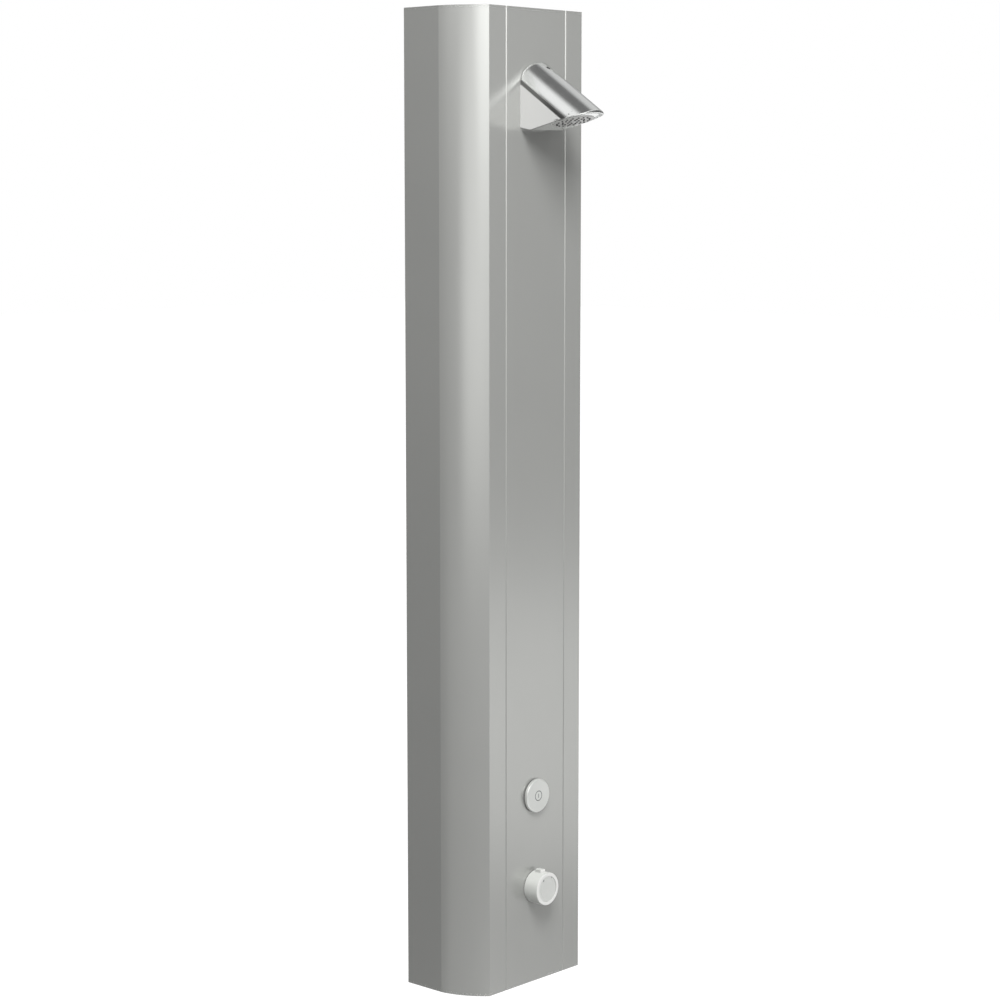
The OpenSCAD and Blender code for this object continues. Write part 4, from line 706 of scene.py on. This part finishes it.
def leadTree():
    tree, inputs, output = startTree("lead", ("Sheath Radius", "Spacing"), ("Sides", "Steps"))
    line = addNode(tree, "GeometryNodeMeshToCurve", {"Mesh": inputs["Geometry"]})
    rounded = addNode(tree, "GeometryNodeCurveSplineType", {"Curve": line.outputs[0]}, spline_type="CATMULL_ROM")
    fine = addNode(tree, "GeometryNodeSetSplineResolution", {"Geometry": rounded.outputs[0],
                                                             "Resolution": inputs["Steps"]})
    even = addNode(tree, "GeometryNodeResampleCurve", {"Curve": fine.outputs[0], "Length": inputs["Spacing"]},
                   mode="LENGTH")
    profile = addNode(tree, "GeometryNodeCurvePrimitiveCircle", {"Resolution": inputs["Sides"],
                                                                 "Radius": inputs["Sheath Radius"]})
    swept = addNode(tree, "GeometryNodeCurveToMesh", {"Curve": even.outputs[0], "Profile Curve": profile.outputs[0],
                                                      "Fill Caps": True})
    endTree(tree, inputs, swept.outputs[0], output)
    return tree


def makeLeads(look):
    tree = leadTree()
    for node, route in look["routes"].items():
        seed = bpy.data.meshes.new(node + "Route")
        seed.from_pydata([Vector(p) * mm for p in route], [(k, k + 1) for k in range(len(route) - 1)], [])
        inputs = {label: value for label, value in look.items() if label != "routes"}
        lead = growPiece(node.replace("_c", "C"), tree, inputs, "cable_rubber", "panel", seed)
        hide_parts(node)
        print("lead:", lead.name, len(lead.data.polygons), "faces", checkClosed(lead.data))


makeLeads(leadLook)


# Knob disc: turned face with a fine ring and two small scale marks
discLook = {
    "groove": 12.4 * mm,
    "grooveHalf": 0.22 * mm,
    "grooveDepth": 0.18 * mm,
    "floorWidth": 0.6,                 # share of the groove's width, at its floor
    "landDepth": 0.6,                  # share of the dish, beside the groove
    "edge": 0.35 * mm,
    "edgeBow": 0.3,
    "dish": 0.12 * mm,
    "marks": [(-7, 11.7, 2.5, 1, 18), (8, 12.8, 1.2, 0.8, -20)],   # across, up, length, width, degrees
    "markProud": 0.03 * mm,
    "markRound": 0.02 * mm,
    "markSteps": 2,
    "sides": 120,
}


def lathe(profile, sides, axisPoint):  # profile of (radius, depth behind the front), turned round the Y axis
    made = bmesh.new()
    rings = []
    for radius, depth in profile:
        if radius == 0:
            rings.append([made.verts.new((axisPoint.x, axisPoint.y + depth, axisPoint.z))] * sides)
            continue
        ring = []
        for k in range(sides):
            a = 2 * math.pi * k / sides
            ring.append(made.verts.new((axisPoint.x + radius * math.cos(a), axisPoint.y + depth,
                                        axisPoint.z + radius * math.sin(a))))
        rings.append(ring)
    for one, other in zip(rings, rings[1:]):
        for k in range(sides):
            j = (k + 1) % sides
            corners = [one[k], one[j], other[j], other[k]]
            corners = [c for n, c in enumerate(corners) if c not in corners[:n]]
            if len(corners) > 2:
                made.faces.new(corners)
    bmesh.ops.recalc_face_normals(made, faces=made.faces)
    return roundOff(meshFrom(made, "turned"))


def makeDisc(look):
    low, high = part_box("knob_face")
    radius, depth = high.x, high.y - low.y
    dish, edge, rise = look["dish"], look["edge"], look["edge"] * look["edgeBow"]
    groove, half, deep = look["groove"], look["grooveHalf"], look["grooveDepth"]
    land, floor = dish * look["landDepth"], half * look["floorWidth"]
    profile = [(0, dish), (groove / 2, dish), (groove - 2 * half, land), (groove - half, land),
               (groove - floor, deep + land), (groove + floor, deep + land),
               (groove + half, land), (groove + 2 * half, land),
               (radius - 2 * edge, 0), (radius - edge, 0), (radius - rise, rise), (radius, edge),
               (radius, depth), (0, depth)]
    front = Vector((0, low.y, (low.z + high.z) / 2))
    disc = finishPiece(lathe(profile, look["sides"], front), "knobDisc", "knob_disc", "knob")
    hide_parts("knob_face")
    return front


def makeMarks(look, front):
    made = bmesh.new()
    for across, up, length, width, degrees in look["marks"]:
        turn = Matrix.Rotation(math.radians(degrees), 4, "Y")
        place = Matrix.Translation(front + Vector((across * mm, look["dish"] / 2, up * mm)))
        size = Matrix.Diagonal((width * mm, look["dish"] + 2 * look["markProud"], length * mm, 1))
        bmesh.ops.create_cube(made, size=1, matrix=place @ turn @ size)
    bmesh.ops.bevel(made, geom=made.edges, offset=look["markRound"], segments=look["markSteps"], affect="EDGES")
    finishPiece(meshFrom(made, "marks"), "knobMarks", "grey_plastic", "knob")


discFront = makeDisc(discLook)
makeMarks(discLook, discFront)
print("knob disc done")


# Start button: dark ink in the ring mark cut into the cap
markLook = {
    "ring": 6.5 * mm,
    "width": 1 * mm,
    "depth": 0.28 * mm,
    "fill": 0.22 * mm,
    "bar": 2.6 * mm,
    "gap": 0.02 * mm,
    "sides": 96,
}


def makeMark(look):
    low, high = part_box("start_button")
    centre = Vector((0, low.y, (low.z + high.z) / 2))
    outer, inner = look["ring"] - look["gap"], look["ring"] - look["width"] + look["gap"]
    sunk, back = look["depth"] - look["fill"], look["depth"]
    profile = [(outer, sunk), (outer, back), (inner, back), (inner, sunk), (outer, sunk)]
    made = bmesh.new()
    made.from_mesh(lathe(profile, look["sides"], centre))
    bmesh.ops.remove_doubles(made, verts=made.verts, dist=hair / 10)
    size = Matrix.Diagonal((look["width"] - 2 * look["gap"], look["fill"], 2 * look["bar"] - 2 * look["gap"], 1))
    bmesh.ops.create_cube(made, size=1, matrix=Matrix.Translation(centre + Vector((0, (sunk + back) / 2, 0))) @ size)
    bmesh.ops.recalc_face_normals(made, faces=made.faces)
    mark = finishPiece(roundOff(meshFrom(made, "ringMark")), "ringMark", "grey_plastic", "start_button")
    print("ring mark:", checkClosed(mark.data))


makeMark(markLook)


# Studio: white surroundings, a pale floor far below, one soft lamp, and cards that only shiny surfaces mirror
studioLook = {
    "floorDrop": 0.9,
    "floorHalf": 30,
    "floorShade": 0.3,
    "floorRough": 0.9,
    "diffuseLight": 0.64,
    "lightLean": (0.15, -0.65, 0.4),   # the surroundings light more from this side
    "aimRise": 0.25,                   # lamp and cards face a point this far above the panel's middle
    "key": {"turn": 230, "rise": 42, "away": 2.7, "width": 1.1, "height": 1.3, "power": 114},
    "cards": {                         # each fades out over a share of its half, towards its edges
        "softBox": {"turn": 231, "rise": 25, "away": 3.0, "width": 2.9, "height": 2.7, "shade": 3.4, "fade": 0.6},
        "noseFlag": {"turn": 318, "rise": 24, "away": 3.0, "width": 3.8, "height": 1.5, "shade": 0.05, "fade": 0.3},
        "sideGlow": {"turn": 210, "rise": -0.5, "away": 3.3, "width": 3.3, "height": 1.7, "shade": 1.15, "fade": 0.6},
        "sideFlag": {"turn": 137, "rise": -5, "away": 2.0, "width": 2.2, "height": 3.4, "shade": 0.05, "fade": 0.2},
        "lowFlag": {"turn": 195, "rise": -28, "away": 2.3, "width": 4.2, "height": 1.3, "shade": 0.25, "fade": 0.2},
        "nearFlag": {"turn": 317, "rise": -32, "away": 2.96, "width": 2.4, "height": 0.5, "shade": 0.4, "fade": 0.5},
        "lowGlow": {"turn": 317, "rise": -16, "away": 5.7, "width": 4.5, "height": 0.8, "shade": 1.1, "fade": 0.3},
        "topFlag": {"turn": 0, "rise": 90, "away": 2.2, "width": 2.5, "height": 2.5, "shade": 0.16, "fade": 0.5},
        "farFlag": {"turn": 25, "rise": 19, "away": 2.6, "width": 2.8, "height": 1.6, "shade": 0.35, "fade": 0.3},
        "farGlow": {"turn": 16, "rise": 50, "away": 2.8, "width": 2.4, "height": 1.8, "shade": 0.65, "fade": 0.3},
    },
    "wall": {"away": 8.2, "low": -1.42, "high": 1.5, "sides": 48, "shade": 0.2},
}


def seenBright(tree):                  # 1 for rays that show the background, also in metal
    path = addNode(tree, "ShaderNodeLightPath")
    seen = maths(tree, "MAXIMUM", path.outputs["Is Camera Ray"], path.outputs["Is Glossy Ray"])
    return maths(tree, "MAXIMUM", seen, path.outputs["Is Transmission Ray"])


def makeWorld(look):
    world = bpy.data.worlds.new("studio")
    bpy.context.scene.world = world
    world.use_nodes = True
    tree = world.node_tree
    background = tree.nodes["Background"]
    background.inputs["Color"].default_value = (1, 1, 1, 1)
    way = addNode(tree, "ShaderNodeTexCoord").outputs["Generated"]
    lean = vectorMaths(tree, "DOT_PRODUCT", "Value", way, look["lightLean"])
    dim = maths(tree, "MULTIPLY", maths(tree, "ADD", lean, 1), look["diffuseLight"])
    tree.links.new(spread(tree, seenBright(tree), dim, 1, 0, 1), background.inputs["Strength"])


def makeFloor(look):
    half, shade = look["floorHalf"], look["floorShade"]
    floor = addObject("floor", flatSheet("floor", half, half, panelFoot - look["floorDrop"]))
    material, tree, shader = startMaterial("paleFloor", {
        "Roughness": look["floorRough"], "Base Color": (shade, shade, shade, 1), "Emission Color": (1, 1, 1, 1)})
    lift = maths(tree, "MULTIPLY", seenBright(tree), 1 - shade * look["diffuseLight"])
    tree.links.new(lift, shader.inputs["Emission Strength"])
    floor.data.materials.append(material)


def setUp(name, data, look):           # stands a lamp or card round the panel, facing it
    made = addObject(name, data)
    turn, rise = math.radians(look["turn"]), math.radians(look["rise"])
    away = Vector((math.cos(turn) * math.cos(rise), math.sin(turn) * math.cos(rise), math.sin(rise)))
    aim = Vector((0, panelFront / 2, (panelTop + panelFoot) / 2 + studioLook["aimRise"]))
    made.location = aim + away * look["away"]
    made.rotation_euler = away.to_track_quat("Z", "Y").to_euler()
    return made


def makeLight(name, look):
    light = bpy.data.lights.new(name, "AREA")
    light.shape, light.size, light.size_y, light.energy = "RECTANGLE", look["width"], look["height"], look["power"]
    lamp = setUp(name, light, look)
    lamp.visible_camera = lamp.visible_glossy = False


def makeCard(name, look):
    half, tall = look["width"] / 2, look["height"] / 2
    tree, shader = onlyMirrored(setUp(name, flatSheet(name, half, tall), look), look["shade"])
    place = parts(tree, objectPlace(tree))
    cover = 1.0
    for axis, reach in (("X", half), ("Y", tall)):
        edge = maths(tree, "ABSOLUTE", place[axis])
        cover = maths(tree, "MULTIPLY", cover, spread(tree, edge, 1, 0, reach * (1 - look["fade"]), reach))
    tree.links.new(cover, shader.inputs["Alpha"])


def onlyMirrored(card, shade):
    material, tree, shader = startMaterial(card.name, {"Base Color": (0, 0, 0, 1), "Specular IOR Level": 0,
                                                       "Emission Color": (shade, shade, shade, 1),
                                                       "Emission Strength": 1})
    card.data.materials.append(material)
    card.visible_camera = card.visible_diffuse = card.visible_shadow = False
    return tree, shader


def makeWall(look):                    # a darker strip along the horizon
    made = bmesh.new()
    turns = [2 * math.pi * k / look["sides"] for k in range(look["sides"])]
    low, high = ([made.verts.new((look["away"] * math.cos(a), look["away"] * math.sin(a), look[end])) for a in turns]
                 for end in ("low", "high"))
    for k in range(look["sides"]):
        made.faces.new((low[k], low[k - 1], high[k - 1], high[k]))
    onlyMirrored(addObject("wall", meshFrom(made, "wall")), look["shade"])


makeWorld(studioLook)
makeFloor(studioLook)
makeLight("keyBox", studioLook["key"])
for cardName, cardLook in studioLook["cards"].items():
    makeCard(cardName, cardLook)
makeWall(studioLook["wall"])
bpy.context.scene.view_settings.view_transform = "Standard"
print("studio ready")
